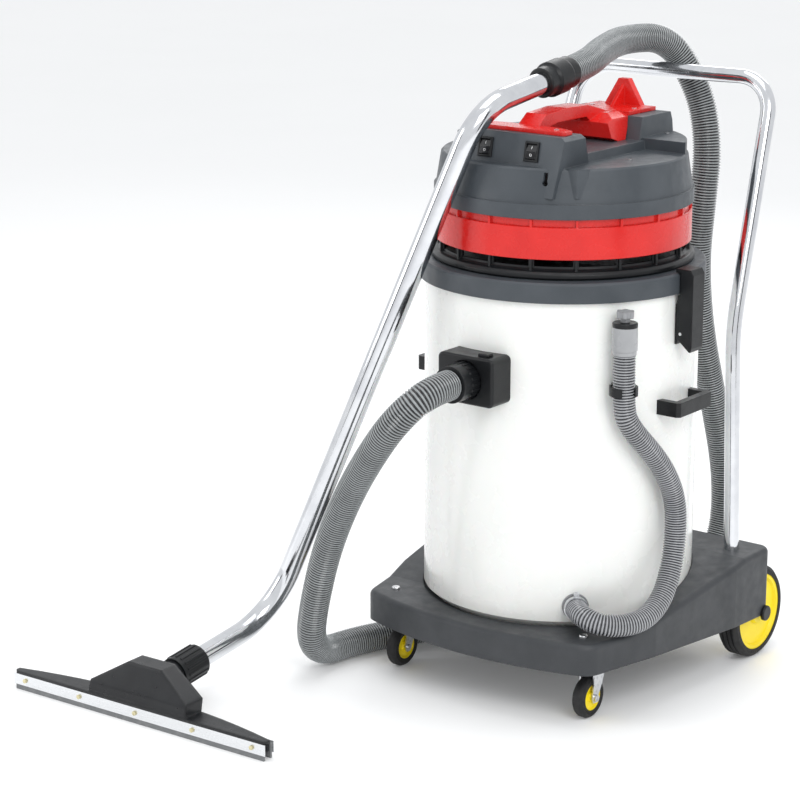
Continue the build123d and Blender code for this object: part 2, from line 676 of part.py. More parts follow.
def latch_pins():
    return both_sides(rod_y(LATCH_PIN_R, -LATCH_HALF, LATCH_HALF, LATCH_PIN_X, LATCH_PIN_Z))


# ---- drain ----
def drain_spout():
    out = ray(DRAIN_AZ)
    base = (0, 0, DRAIN_Z)
    flange = rod_along(DRAIN_BORE_R + 6.5, base, out, TANK_R - 20, TANK_R + 4)
    flange = flange - disc(TANK_R + SEAT, DRAIN_Z - 50, DRAIN_Z + 50)
    neck = rod_along(DRAIN_BORE_R - RUN, base, out, TANK_R - TANK_WALL - 4, TANK_R + 20)
    return flange + neck - rod_along(DRAIN_BORE_R - 2.5, base, out, TANK_R - 50, TANK_R + 50)


def drain_hose_clamp():
    out = ray(DRAIN_AZ)
    base = (0, 0, DRAIN_Z)
    ring = rod_along(DRAIN_HOSE_R + 1.8, base, out, TANK_R + 8, TANK_R + 16)
    ring = ring - rod_along(DRAIN_HOSE_R + RUN, base, out, TANK_R, TANK_R + 25)
    top = DRAIN_Z + DRAIN_HOSE_R
    return ring + at_azimuth(DRAIN_AZ) * block(-4, 4, -TANK_R - 15, -TANK_R - 9, top + 1, top + 9)


def drain_place():
    x, y, z = around(DRAIN_RUN_R, DRAIN_TOP_AZ, DRAIN_CUFF_Z)
    return Pos(x, y, z)


def drain_cuff():
    height = DRAIN_CUFF_H
    bore = DRAIN_CUFF_BORE_R
    outline = [(bore, 0), (DRAIN_CUFF_R - 1.5, 0), (DRAIN_CUFF_R - 1.5, 6), (DRAIN_CUFF_R, 7),
               (DRAIN_CUFF_R - 0.5, height), (bore, height)]
    return drain_place() * turned(outline)


def drain_plug():
    low, high = DRAIN_CUFF_H, DRAIN_CUFF_H + PLUG_H
    cap = tube_z(DRAIN_CUFF_R - 0.5, KNOB_STEM_R + RUN, low, high)
    cap = fillet(cap.edges().group_by(Axis.Z)[-1].sort_by(SortBy.RADIUS)[-1], 2)
    return drain_place() * (cap + tube_z(DRAIN_CUFF_BORE_R - SEAT, KNOB_STEM_R + RUN, low - 16, low))


def drain_knob():
    low = DRAIN_CUFF_H + PLUG_H + GAP
    high = low + 17
    stem = disc(KNOB_STEM_R, DRAIN_CUFF_H - 22, high - 4) + disc(7.5, low, high - 8)
    foot = disc(10, DRAIN_CUFF_H - 22, DRAIN_CUFF_H - 16 - GAP)
    head = disc(11.5, high - 10, high)
    lobes = 6
    for index in range(lobes):
        head = head + Rot(0, 0, index * 360 / lobes) * disc(4, high - 10, high, 10.3, 0)
    return drain_place() * (stem + foot + head)


def hose_clip():
    x, y, z = around(DRAIN_RUN_R, DRAIN_TOP_AZ, CLIP_Z)
    bore = DRAIN_HOSE_R + CLIP_PLAY
    ring = tube_z(bore + 3.2, bore, -CLIP_HALF_H, CLIP_HALF_H)
    mouth = block(-11, 11, -40, -8, -10, 10)
    foot = block(-9, 9, bore + 1, 60, -CLIP_HALF_H, CLIP_HALF_H)
    clip = Pos(x, y, z) * Rot(0, 0, DRAIN_TOP_AZ) * (ring - mouth + foot)
    return clip - disc(TANK_R + SEAT, z - 50, z + 50)


# ---- lid ----
def lid_ring():
    inner = RING_R - RING_WALL
    lip = RING_TOP_Z - RING_WALL
    outline = [(RING_INNER_R, lip - 1), (inner - 2, lip - 1), (inner, lip - 4), (inner, RING_LOW_Z),
               (RING_R, RING_LOW_Z), (RING_R, RING_TOP_Z - 4), (RING_R - 3, RING_TOP_Z - 0.5),
               (VENT_BULGE_R + 4, RING_TOP_Z), (RING_INNER_R, RING_TOP_Z)]
    return turned(outline)


def lid_gasket():
    top = RING_TOP_Z - RING_WALL - 1
    return tube_z(TANK_R + 1, TANK_R - TANK_WALL - 3, TANK_RIM_Z, top)


def vent_base():
    inner = VENT_R - VENT_WALL
    low = RING_TOP_Z
    outline = [(inner, low), (VENT_BULGE_R - 3, low), (VENT_BULGE_R, low + 3), (VENT_BULGE_R, low + 8),
               (VENT_BULGE_R - 4, low + 12), (VENT_R + 3, low + 13.5), (VENT_R, low + 16),
               (VENT_R, COVER_LOW_Z - 0.5), (inner, COVER_LOW_Z - 0.5)]
    base = turned(outline)
    pitch = 360 / VENT_SLOT_COUNT
    slot_z0, slot_z1 = low + 19, BAND_LOW_Z - 1
    width = 2 * pi * VENT_R / VENT_SLOT_COUNT - 9
    for index in range(VENT_SLOT_COUNT):
        slot = block(-width / 2, width / 2, -VENT_R - 10, -inner + 6, slot_z0, slot_z1)
        base = base - at_azimuth((index + 0.5) * pitch) * slot
    for index in range(VENT_SLOT_COUNT):
        rib = block(-2, 2, -VENT_R - 5, -inner - 1, low + 12, BAND_LOW_Z - 0.3)
        base = base + at_azimuth(index * pitch) * rib
    return base


def vent_band():
    inner = VENT_R + SEAT
    outline = [(inner, BAND_LOW_Z), (BAND_R, BAND_LOW_Z), (BAND_R, BAND_TOP_Z),
               (BAND_R - 1.5, BAND_TOP_Z + 1), (VENT_R + 2.5, BAND_TOP_Z + 1),
               (VENT_R + 2.5, COVER_LOW_Z - 0.6), (inner, COVER_LOW_Z - 0.6)]
    band = turned(outline)
    pitch = 360 / VENT_SLOT_COUNT
    for index in range(VENT_SLOT_COUNT):
        rib = block(-2, 2, -BAND_R + 0.5, -inner - 1, BAND_TOP_Z, COVER_LOW_Z - 0.6)
        band = band + at_azimuth(index * pitch) * rib
    return band


def motor_plate():
    low, high = PLATE_LOW_Z, MOTOR_LOW_Z
    plate = disc(VENT_R - VENT_WALL - SEAT, low, high)
    for side in (-1, 1):
        plate = plate - disc(INTAKE_R, low - 5, high + 5, side * MOTOR_X, 0)
    return plate - disc(GUIDE_R + SEAT, low - 5, high + 5)


def motor_housings():
    low, high = MOTOR_LOW_Z, MOTOR_TOP_Z
    wall = MOTOR_WALL
    bore = MOTOR_SHAFT_R + RUN
    outline = [(INTAKE_R, low), (FAN_R + wall, low), (FAN_R + wall, low + FAN_H),
               (MOTOR_R, low + FAN_H + wall), (MOTOR_R, high - 8), (14, high), (bore, high), (bore, high - 6),
               (12, high - 6), (MOTOR_R - wall, high - 12), (MOTOR_R - wall, low + FAN_H - 1),
               (FAN_R, low + FAN_H - 4), (FAN_R, low + wall), (INTAKE_R, low + wall)]
    return both_sides(Pos(MOTOR_X, 0, 0) * turned(outline))


def motor_rotor(side):
    low = MOTOR_LOW_Z + 2 * MOTOR_WALL
    x = side * MOTOR_X
    shaft = disc(MOTOR_SHAFT_R, low, MOTOR_TOP_Z - 1, x, 0)
    fan_r = FAN_R - 5
    fan = tube_z(fan_r, 20, low, low + 1.5, x, 0) + disc(fan_r, low + 18, low + 20, x, 0)
    blades = 8
    for index in range(blades):
        blade = block(18, fan_r - 1, -0.8, 0.8, low + 1, low + 19)
        fan = fan + Pos(x, 0, 0) * Rot(0, 0, index * 360 / blades) * blade
    high = MOTOR_TOP_Z
    armature = disc(MOTOR_R - 20, high - 87.5, high - 42.5, x, 0) + disc(14, high - 38.5, high - 22.5, x, 0)
    return shaft + fan + armature


def float_cage():
    top = PLATE_LOW_Z
    cage = tube_z(CAGE_R, CAGE_R - CAGE_WALL, CAGE_LOW_Z, top)
    cage += disc(CAGE_R, CAGE_LOW_Z, CAGE_LOW_Z + CAGE_WALL)
    slots = 16
    for index in range(slots):
        slot = block(-15, 15, -CAGE_R - 5, -CAGE_R + 8, CAGE_LOW_Z + 18, top - 16)
        cage = cage - at_azimuth(index * 360 / slots) * slot
    return cage + disc(GUIDE_R, CAGE_LOW_Z, top + PLATE_T)


def float_disc():
    low, high = FLOAT_LOW_Z, FLOAT_LOW_Z + FLOAT_H
    bore = GUIDE_R + 0.1
    return turned([(bore, low), (FLOAT_R - 8, low), (FLOAT_R, low + 8), (FLOAT_R, high), (bore, high)])


def filter_bag():
    top = TANK_RIM_Z
    rim = TANK_R - TANK_WALL - 1
    outline = [(rim - 9, top - 8), (CAGE_R + 14, CAGE_LOW_Z - 2), (CAGE_R - 4, CAGE_LOW_Z - 12),
               (0, CAGE_LOW_Z - 12), (0, CAGE_LOW_Z - 9), (CAGE_R - 6, CAGE_LOW_Z - 9),
               (CAGE_R + 11, CAGE_LOW_Z), (rim - 9, top), (rim, top), (rim, top - 8)]
    return turned(outline)


# ---- head cover ----
def cover_profile(inset):
    return [(0, COVER_LOW_Z), (COVER_R - inset, COVER_LOW_Z), (COVER_R - inset, COVER_LIP_Z - inset),
            (COVER_R - 3 - inset, COVER_LIP_Z), (COVER_TOP_R - inset + 1, COVER_FLAT_Z - 3 - inset),
            (COVER_TOP_R - inset - 2, COVER_FLAT_Z - inset), (0, COVER_FLAT_Z - inset)]


def console_block(inset):
    half_low = CONSOLE_HALF_LOW - inset
    half_top = CONSOLE_HALF_TOP - inset
    top = CONSOLE_TOP_Z - inset
    low = CONSOLE_LOW_Z if inset == 0 else CONSOLE_LOW_Z - 30
    low_y = CONSOLE_LOW_Y + inset
    top_y = CONSOLE_TOP_Y + inset
    back_top = CONSOLE_TOP_Y + 52 - inset
    back_low = back_top + 28
    side = [(low_y, low), (top_y, top), (back_top, top), (back_low, COVER_FLAT_Z - 20), (back_low, low)]
    block_x = prism_x(side, -half_top, half_top)
    front = [(-half_low, low), (half_low, low), (half_top, top - 6), (half_top - 7, top),
             (-half_top + 7, top), (-half_top, top - 6)]
    return block_x & prism_y(front, -300, 0)


def cheek_block(inset):
    half = CONSOLE_HALF_TOP + 26 - inset
    front = CONSOLE_LOW_Y + 24 + inset
    points = [(-half + 8, front), (half - 8, front), (half, front + 18), (half, -60), (-half, -60),
              (-half, front + 18)]
    return prism_z(points, CONSOLE_LOW_Z, COVER_FLAT_Z - inset)


def ridge_block(inset):
    top = SADDLE_Z - inset
    half = SADDLE_HALF - inset
    shape = [(-half - 6, COVER_FLAT_Z - 20), (half + 6, COVER_FLAT_Z - 20), (half, top), (-half, top)]
    return prism_y(shape, -130, 100)


def rear_blocks(inset):
    top = REAR_BLOCK_Z - inset
    half = REAR_HALF - inset
    foot_z = SADDLE_Z - 20
    back = REAR_BLOCK_Y - inset
    side = [(58 + inset, foot_z), (80 + inset, top), (back - 12, top), (back, foot_z)]
    front = [(-half - 8, foot_z), (half + 8, foot_z), (half, top), (-half, top)]
    main = prism_x(side, -half - 8, half + 8) & prism_y(front, 0, 300)
    step_r = COVER_TOP_R - 4 - inset
    behind = block(-300, 300, 72 + inset, 300, COVER_LOW_Z, REAR_BLOCK_Z)
    step = disc(step_r, COVER_FLAT_Z - 20, STEP_Z - inset) & behind
    return main + step


def cover_solid(inset):
    top_works = console_block(inset) + cheek_block(inset) + ridge_block(inset)
    body = turned(cover_profile(inset)) + Pos(HEAD_SHIFT_X, 0, 0) * top_works
    shifted = Pos(HEAD_SHIFT_X, 0, 0) * rear_blocks(inset)
    return body + (shifted & disc(COVER_TOP_R - inset - 2, COVER_LOW_Z, REAR_BLOCK_Z + 100))


def console_plane():
    rise = CONSOLE_TOP_Z - CONSOLE_LOW_Z
    lean = atan2(CONSOLE_TOP_Y - CONSOLE_LOW_Y, rise)
    share = (SWITCH_Z - CONSOLE_LOW_Z) / rise
    y = CONSOLE_LOW_Y + share * (CONSOLE_TOP_Y - CONSOLE_LOW_Y)
    return Plane(origin=(HEAD_SHIFT_X, y, SWITCH_Z), x_dir=(1, 0, 0), z_dir=(0, -cos(lean), sin(lean)))


def switch_plane(side):
    plane = console_plane()
    centre = plane.origin + Vector(side * SWITCH_OFFSET, 0, 0)
    return Plane(origin=centre, x_dir=plane.x_dir, z_dir=plane.z_dir)


def screw_places():
    x = HEAD_SHIFT_X
    front_y = CONSOLE_TOP_Y + 32
    front_z = CONSOLE_TOP_Z + GRIP_PLATE
    rear_z = REAR_BLOCK_Z + GRIP_PLATE
    step_y = REAR_BLOCK_Y - 38
    return [(x + 128, -30, COVER_FLAT_Z), (x - 140, -30, COVER_FLAT_Z),
            (x + 92, step_y, STEP_Z), (x - 98, step_y, STEP_Z),
            (x + 62, front_y, front_z), (x - 62, front_y, front_z),
            (x + 40, 120, rear_z), (x - 40, 120, rear_z)]


def head_cover():
    cover = cover_solid(0) - (cover_solid(COVER_WALL) - disc(400, 0, COVER_LOW_Z))
    cover = cover - disc(COVER_R - COVER_WALL, COVER_LOW_Z - 20, COVER_LOW_Z + 1)
    panel = console_plane()
    keyhole = Box(6, 16, 30) + Pos(0, -8, 0) * Cylinder(4.4, 30)
    for side in (-1, 1):
        opening = Box(SWITCH_W - 2 * SWITCH_RIM + 0.4, SWITCH_H - 2 * SWITCH_RIM + 0.4, 40)
        cover = cover - switch_plane(side).location * opening
        centre = panel.origin + Vector(side * 74, -7, -36)
        cover = cover - Plane(origin=centre, x_dir=panel.x_dir, z_dir=panel.z_dir).location * keyhole
    cover = cover - rod_y(GLAND_R + RUN, COVER_R - 50, COVER_R + 50, 0, GLAND_Z)
    return cover - screw_holes(screw_places())


def screw_holes(places):
    holes = []
    for x, y, z in places:
        shank = disc(COVER_SCREW_R + 0.1, z - 16, z + 1, x, y)
        holes.append(shank + disc(COVER_SCREW_HEAD_R + 0.3, z - 1.5, z + 1, x, y))
    return Compound(children=holes)


def cover_screws():
    screws = []
    for x, y, z in screw_places():
        head = disc(COVER_SCREW_HEAD_R, z - 1.5, z + 1, x, y)
        head = head - block(x - 2.6, x + 2.6, y - 0.6, y + 0.6, z, z + 2)
        screws.append(head + disc(COVER_SCREW_R, z - 13, z - 1.5, x, y))
    return Compound(children=screws)


def cable_gland():
    sleeve = rod_y(GLAND_R, COVER_R - 14, COVER_R + 22, 0, GLAND_Z)
    return sleeve + rod_y(GLAND_R + 3, COVER_R - 1, COVER_R + 9, 0, GLAND_Z)


def carry_grip():
    low, high = CONSOLE_TOP_Z, CONSOLE_TOP_Z + GRIP_PLATE
    y = CONSOLE_TOP_Y
    right = [(84, y + 14), (88, y + 19), (88, y + 36), (62, y + 48), (34, y + 52)]
    left = [(-x, y) for x, y in reversed(right)]
    grip = prism_z(right + left, low, high)
    back_low, back_high = REAR_BLOCK_Z, REAR_BLOCK_Z + GRIP_PLATE
    back_y = REAR_BLOCK_Y - 14
    grip = grip + block(-54, 54, 82, back_y, back_low, back_high)
    top = CONSOLE_TOP_Z + GRIP_ARCH
    arch = [(y + 46, high - 1), (y + 68, top - 4), (y + 124, top), (20, top - 2), (70, back_high + 1),
            (100, back_high), (100, back_low), (86, back_low), (36, SADDLE_Z + 14), (28, SADDLE_Z + 28),
            (14, top - 20), (y + 98, top - 20), (y + 72, low), (y + 46, low)]
    grip = grip + prism_x(arch, -GRIP_HALF, GRIP_HALF)
    wedge_side = [(24, SADDLE_Z + 6), (40, SADDLE_Z), (62, SADDLE_Z), (84, back_low), (100, back_low),
                  (100, back_high), (52, back_high), (20, SADDLE_Z + 30)]
    taper = [(-20, back_high + 4), (20, back_high + 4), (54, back_low), (62, SADDLE_Z), (-62, SADDLE_Z),
             (-54, back_low)]
    grip = grip + (prism_x(wedge_side, -62, 62) & prism_y(taper, 0, 200))
    hook_top = back_high + HOOK_HEIGHT
    hook = [(-35, back_high - 1), (35, back_high - 1), (9, hook_top), (-9, hook_top)]
    grip = grip + prism_y(hook, back_y - 14, back_y - 2)
    brace = [(back_y - 50, back_high - 1), (back_y - 13, back_high - 1), (back_y - 13, hook_top - 8)]
    grip = grip + prism_x(brace, -3, 3)
    head = rear_blocks(-SEAT / 2) + console_block(0)
    grip = Pos(HEAD_SHIFT_X, 0, 0) * (grip - head)
    return grip - screw_holes(screw_places()[4:])


def switch_bezels():
    bezels = []
    for side in (-1, 1):
        frame = Pos(0, 0, SWITCH_RISE / 2) * Box(SWITCH_W, SWITCH_H, SWITCH_RISE)
        frame = chamfer(frame.edges().group_by(Axis.Z)[-1], 0.8)
        body = Pos(0, 0, -9) * Box(SWITCH_W - 2 * SWITCH_RIM, SWITCH_H - 2 * SWITCH_RIM, 18.5)
        hollow = Pos(0, 0, 2) * Box(ROCKER_W + 2 * GAP, ROCKER_H + 2 * WINDOW_MARGIN, 20)
        bezel = frame + body - hollow
        pin = Rot(0, 90, 0) * Cylinder(SWITCH_PIN_R, SWITCH_W - 2 * SWITCH_RIM)
        bezel = bezel + (Pos(0, 0, -1) * pin)
        bezels.append(switch_plane(side).location * bezel)
    return Compound(children=bezels)


def switch_rocker(side):
    half = ROCKER_H / 2
    profile = [(-half, -3.5), (half, -3.5), (half, 2.2), (0, 4.6), (-half, 2.2)]
    plate = Plane.YZ * make_face(Polyline(*profile, close=True))
    rocker = Pos(-ROCKER_W / 2, 0, 0) * extrude(plate, amount=ROCKER_W)
    rocker = rocker - Rot(0, 90, 0) * Cylinder(SWITCH_PIN_R + RUN, 40)
    return switch_plane(side).location * Pos(0, 0, -1) * Rot(ROCKER_REST, 0, 0) * rocker


# ---- wand ----
def wand_tube():
    points = [neck_start(), WAND_LOW, WAND_HIGH, beyond_wand(WAND_HIGH_RUN)]
    path = FilletPolyline(*points, radius=[WAND_LOW_R, WAND_HIGH_R])
    return piped(path, WAND_R, WAND_R - WAND_WALL)


def wand_cuff():
    length = WAND_CUFF_END - WAND_CUFF_START
    outline = [(WAND_R + RUN, 0), (WAND_CUFF_R - 6, 0), (WAND_CUFF_R - 4, 2), (WAND_CUFF_R - 4, 20),
               (WAND_CUFF_R, 24), (WAND_CUFF_R, length - 20), (WAND_CUFF_R - 2, length - 16),
               (WAND_CUFF_R - 2, length), (HOSE_BORE_R, length), (HOSE_BORE_R, 30), (WAND_R + RUN, 28)]
    place = Plane(origin=beyond_wand(WAND_CUFF_START), x_dir=(1, 0, 0), z_dir=wand_end())
    return place.location * turned(outline)


# ---- floor tool ----
def neck_start():
    return Vector(*WAND_LOW) - wand_end() * WAND_LOW_RUN


def tool_place():
    end = neck_start()
    return Pos(end.X + 6, end.Y - TOOL_REACH, 0) * Rot(0, 0, TOOL_TURN)


def tool_body():
    half = TOOL_LENGTH / 2
    plate = prism_z(lens_outline(half), TOOL_PLATE_Z, TOOL_PLATE_Z + TOOL_PLATE_T)
    front_rib_y = STRIP_T + BLADE_T
    ribs = block(-half + 6, half - 6, front_rib_y, front_rib_y + RIB_T, RIB_LOW_Z, TOOL_PLATE_Z + 1)
    ribs = ribs + block(-half + 6, half - 6, REAR_BLADE_Y - RIB_T, REAR_BLADE_Y, RIB_LOW_Z, TOOL_PLATE_Z + 1)
    slot = block(-80, 80, front_rib_y + RIB_T, REAR_BLADE_Y - RIB_T, 20, 36)
    dome = dome_block(0) - dome_block(3)
    body = tool_place() * (plate + ribs + dome - slot)
    axis = wand_end()
    start = neck_start()
    body = body + rod_along(NECK_R, start, axis, -34, 30) + rod_along(NECK_R - 1, start, axis, -60, -34)
    body = body - rod_along(WAND_R + RUN, start, axis, 0, 60) - rod_along(WAND_R - 2, start, axis, -78, 1)
    return body - tool_screw_holes()


def tool_screw_holes():
    span = TOOL_DEPTH
    holes = [rod_y(TOOL_SCREW_R + RUN, -span, span, x, TOOL_SCREW_Z) for x in tool_screw_x()]
    return tool_place() * Compound(children=holes)


def lens_outline(half):
    front = [(-half, 6), (-half + 6, 0), (half - 6, 0), (half, 6)]
    rear = []
    steps = 14
    for index in range(steps + 1):
        x = half - 2 * half * index / steps
        rear.append((x, 14 + (TOOL_DEPTH - 14) * (1 - (x / half) ** 2)))
    return front + rear


def dome_block(inset):
    low = TOOL_PLATE_Z + (0 if inset == 0 else -1)
    top = neck_start().Z + 36 - inset
    shoulder = top - 38
    half = 100 - inset
    shape = [(-half, low), (half, low), (half - 2, shoulder), (34, top), (-34, top), (-half + 2, shoulder)]
    front_edge = [(4 + inset, low), (42 - inset, low)]
    rear_edge = [(60 - inset, top), (26 + inset, top), (7 + inset, shoulder - 4)]
    side = front_edge + rear_edge
    return prism_y(shape, -20, 100) & prism_x(side, -150, 150)


def tool_screw_x():
    span = TOOL_LENGTH - 50
    return [-span / 2 + span * index / (TOOL_SCREWS - 1) for index in range(TOOL_SCREWS)]


def tool_strips():
    half = TOOL_LENGTH / 2
    strips = []
    for y0 in (0, REAR_BLADE_Y + BLADE_T):
        strip = block(-half, half, y0, y0 + STRIP_T, STRIP_LOW_Z, TOOL_PLATE_Z)
        strips.append(tool_place() * strip - tool_screw_holes())
    return Compound(children=strips)


def tool_blades():
    half = TOOL_LENGTH / 2 - 3
    blades = []
    for y0 in (STRIP_T, REAR_BLADE_Y):
        blade = block(-half, half, y0, y0 + BLADE_T, 0, BLADE_TOP_Z)
        blades.append(tool_place() * blade - tool_screw_holes())
    return Compound(children=blades)


def tool_screws():
    screws = []
    z = TOOL_SCREW_Z
    depth = STRIP_T + BLADE_T + 3.5
    back = REAR_BLADE_Y + BLADE_T + STRIP_T
    for x in tool_screw_x():
        front_screw = rod_y(TOOL_SCREW_HEAD_R, -2.4, 0, x, z) + rod_y(TOOL_SCREW_R, 0, depth, x, z)
        back_screw = rod_y(TOOL_SCREW_HEAD_R, back, back + 2.4, x, z)
        back_screw += rod_y(TOOL_SCREW_R, back - depth, back, x, z)
        screws += [tool_place() * front_screw, tool_place() * back_screw]
    return Compound(children=screws)


def tool_nut():
    length = NUT_LENGTH
    bore = NECK_R + 0.15
    outline = [(bore, 0), (NUT_R, 0), (NUT_R, length - 3), (NUT_R - 3, length),
               (WAND_R + GAP, length), (WAND_R + GAP, 32), (bore, 32)]
    nut = turned(outline)
    ribs = 16
    for index in range(ribs):
        nut = nut + Rot(0, 0, index * 360 / ribs) * block(NUT_R - 1, NUT_R + 1.4, -2, 2, 8, length - 5)
    return Plane(origin=neck_start(), x_dir=(1, 0, 0), z_dir=wand_end()).location * nut


# ---- nodes ----
nodes = {
    "trolley_deck": trolley_deck(),
    "rear_axle": rear_axle(),
    "axle_caps": axle_caps(),
    "caster_plates": caster_plates(),
    "deck_screws": deck_screws(),
    "push_handle": push_handle(),
    "tank_shell": tank_shell(),
    "inlet_block": inlet_block(),
    "inlet_deflector": inlet_deflector(),
    "tank_bolts": tank_bolts(),
    "inlet_cuff": inlet_cuff(),
    "release_button": release_button(),
    "latch_brackets": latch_brackets(),
    "latch_pins": latch_pins(),
    "carry_handles": carry_handles(),
    "drain_spout": drain_spout(),
    "drain_hose_clamp": drain_hose_clamp(),
    "drain_hose": hose(DRAIN_ROUTE, DRAIN_HOSE_R, DRAIN_BORE_R, "drain hose"),
    "drain_cuff": drain_cuff(),
    "drain_plug": drain_plug(),
    "drain_knob": drain_knob(),
    "hose_clip": hose_clip(),
    "lid_ring": lid_ring(),
    "lid_gasket": lid_gasket(),
    "vent_base": vent_base(),
    "vent_band": vent_band(),
    "head_cover": head_cover(),
    "cover_screws": cover_screws(),
    "carry_grip": carry_grip(),
    "switch_bezels": switch_bezels(),
    "motor_plate": motor_plate(),
    "motor_housings": motor_housings(),
    "cable_gland": cable_gland(),
    "float_cage": float_cage(),
    "float_disc": float_disc(),
    "filter_bag": filter_bag(),
    "wand_tube": wand_tube(),
    "wand_cuff": wand_cuff(),
    "suction_hose": hose(SUCTION_ROUTE, HOSE_R, HOSE_BORE_R, "suction hose"),
    "tool_body": tool_body(),
    "tool_nut": tool_nut(),
    "tool_strips": tool_strips(),
    "tool_blades": tool_blades(),
    "tool_screws": tool_screws(),
}
for label, side in (("left", -1), ("right", 1)):
    nodes[label + "_rear_hub"] = rear_hub(side)
    nodes[label + "_rear_tyre"] = rear_tyre(side)
    nodes[label + "_caster_fork"] = caster_fork(side)
    nodes[label + "_caster_hub"] = caster_hub(side)
    nodes[label + "_caster_tyre"] = caster_tyre(side)
    nodes[label + "_latch"] = latch(side)
    nodes[label + "_rocker"] = switch_rocker(side)
    nodes[label + "_rotor"] = motor_rotor(side)

os.makedirs("parts", exist_ok=True)
for name, shape in nodes.items():
    export_step(shape, "parts/" + name + ".step")
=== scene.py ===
import json
import math

import bmesh
import bpy
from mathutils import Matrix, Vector


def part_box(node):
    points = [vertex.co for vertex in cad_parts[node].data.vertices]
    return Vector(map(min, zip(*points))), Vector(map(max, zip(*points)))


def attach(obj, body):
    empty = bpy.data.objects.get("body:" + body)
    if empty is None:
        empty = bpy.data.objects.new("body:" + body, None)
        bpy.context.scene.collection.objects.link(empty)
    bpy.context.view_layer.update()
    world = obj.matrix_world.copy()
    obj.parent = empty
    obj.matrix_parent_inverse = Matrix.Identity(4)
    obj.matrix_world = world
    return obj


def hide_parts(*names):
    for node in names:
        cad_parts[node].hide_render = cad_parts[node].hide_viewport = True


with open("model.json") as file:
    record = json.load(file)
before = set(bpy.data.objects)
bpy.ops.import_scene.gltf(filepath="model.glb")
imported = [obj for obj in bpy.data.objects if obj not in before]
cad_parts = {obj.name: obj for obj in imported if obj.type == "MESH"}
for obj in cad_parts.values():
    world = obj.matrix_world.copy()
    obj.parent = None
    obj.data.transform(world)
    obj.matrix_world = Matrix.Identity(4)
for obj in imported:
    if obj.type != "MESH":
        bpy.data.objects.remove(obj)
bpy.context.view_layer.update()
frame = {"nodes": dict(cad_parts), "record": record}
nodes = frame["nodes"]

# Sizes in metres, taken over from the CAD source.
SUCTION_HOSE_R = 0.024
SUCTION_BORE_R = 0.0205
DRAIN_HOSE_R = 0.0175
DRAIN_BORE_R = 0.0145
TANK_BASE_Z = 0.130
REAR_WHEEL_R = 0.0775
CASTER_R = 0.034

# Hoses: corrugations as (pitch, depth of the grooves), sides round the tube, and lengths.
SUCTION_PLEATS = (0.0047, 0.0025)
DRAIN_PLEATS = (0.0044, 0.0020)
HOSE_SIDES = 20

CAMERA_PLACE = (2.1409, -3.1763, 1.4664)
CAMERA_TURN_DEG = (75.04, 0, 37.87)
CAMERA_LENS_MM = 109.67
FLOOR_REACH = 14

SUCTION_ROUTE = [
    (0, -0.300, 0.532), (0, -0.356, 0.532), (-0.036, -0.384, 0.490), (-0.082, -0.378, 0.436),
    (-0.150, -0.356, 0.350), (-0.212, -0.338, 0.243), (-0.250, -0.328, 0.132), (-0.270, -0.315, 0.062),
    (-0.282, -0.268, 0.025), (-0.275, -0.205, 0.0241), (-0.250, -0.135, 0.0241), (-0.195, -0.030, 0.0241),
    (-0.120, 0.100, 0.0241), (-0.045, 0.240, 0.0241), (0.010, 0.350, 0.0241), (0.024, 0.436, 0.040),
    (0.032, 0.486, 0.110), (0.032, 0.484, 0.220), (0.024, 0.446, 0.360), (0.018, 0.402, 0.500),
    (0.020, 0.380, 0.620), (0.032, 0.374, 0.720), (0.036, 0.382, 0.815), (0.014, 0.386, 0.908),
    (-0.030, 0.353, 0.998), (-0.056, 0.250, 1.003), (-0.040, 0.160, 0.992),
    (-0.019, 0.092, 0.980155), (-0.019, 0.032839, 0.972156),
]


def around(radius, azimuth, height):
    angle = math.radians(azimuth)
    return (radius * math.sin(angle), -radius * math.cos(angle), height)


DRAIN_ROUTE = [
    around(0.226, 41.6, 0.170), around(0.259, 41.6, 0.170), around(0.284, 47, 0.161),
    around(0.287, 55, 0.156), around(0.281, 63.5, 0.160), around(0.267, 72, 0.182),
    around(0.254, 78.5, 0.220), around(0.247, 82.5, 0.272), around(0.246, 82, 0.335),
    around(0.246, 74, 0.397), around(0.246, 59, 0.466), around(0.246, 57, 0.500),
    around(0.246, 57, 0.579),
]


# ---- camera, lights and floor ----
def aim(thing, place, target):
    thing.location = place
    direction = Vector(target) - Vector(place)
    thing.rotation_euler = direction.to_track_quat("-Z", "Y").to_euler()


def set_camera():
    lens = bpy.data.cameras.new("studio_camera")
    lens.sensor_width = 36
    lens.lens = CAMERA_LENS_MM
    lens.clip_end = 60
    camera = bpy.data.objects.new("studio_camera", lens)
    bpy.context.collection.objects.link(camera)
    camera.location = CAMERA_PLACE
    camera.rotation_euler = [math.radians(turn) for turn in CAMERA_TURN_DEG]
    bpy.context.scene.camera = camera


def soft_box(name, place, target, width, height, watts):
    lamp = bpy.data.lights.new(name, "AREA")
    lamp.shape = "RECTANGLE"
    lamp.size = width
    lamp.size_y = height
    lamp.energy = watts
    box = bpy.data.objects.new(name, lamp)
    bpy.context.collection.objects.link(box)
    aim(box, place, target)


def rectangle(name, width, height, finish):
    mesh = bpy.data.meshes.new(name)
    x, y = width / 2, height / 2
    mesh.from_pydata([(-x, -y, 0), (x, -y, 0), (x, y, 0), (-x, y, 0)], [], [(0, 1, 2, 3)])
    thing = bpy.data.objects.new(name, mesh)
    bpy.context.collection.objects.link(thing)
    mesh.materials.append(finish)
    return thing


def dark_card(name, place, target, width, height, finish):
    """A black card that only shows in the chrome and gloss."""
    card = rectangle(name, width, height, finish)
    aim(card, place, target)
    card.visible_camera = False
    card.visible_diffuse = False
    card.visible_shadow = False


def lay_floor(finish):
    rectangle("studio_floor", 2 * FLOOR_REACH, 2 * FLOOR_REACH, finish)


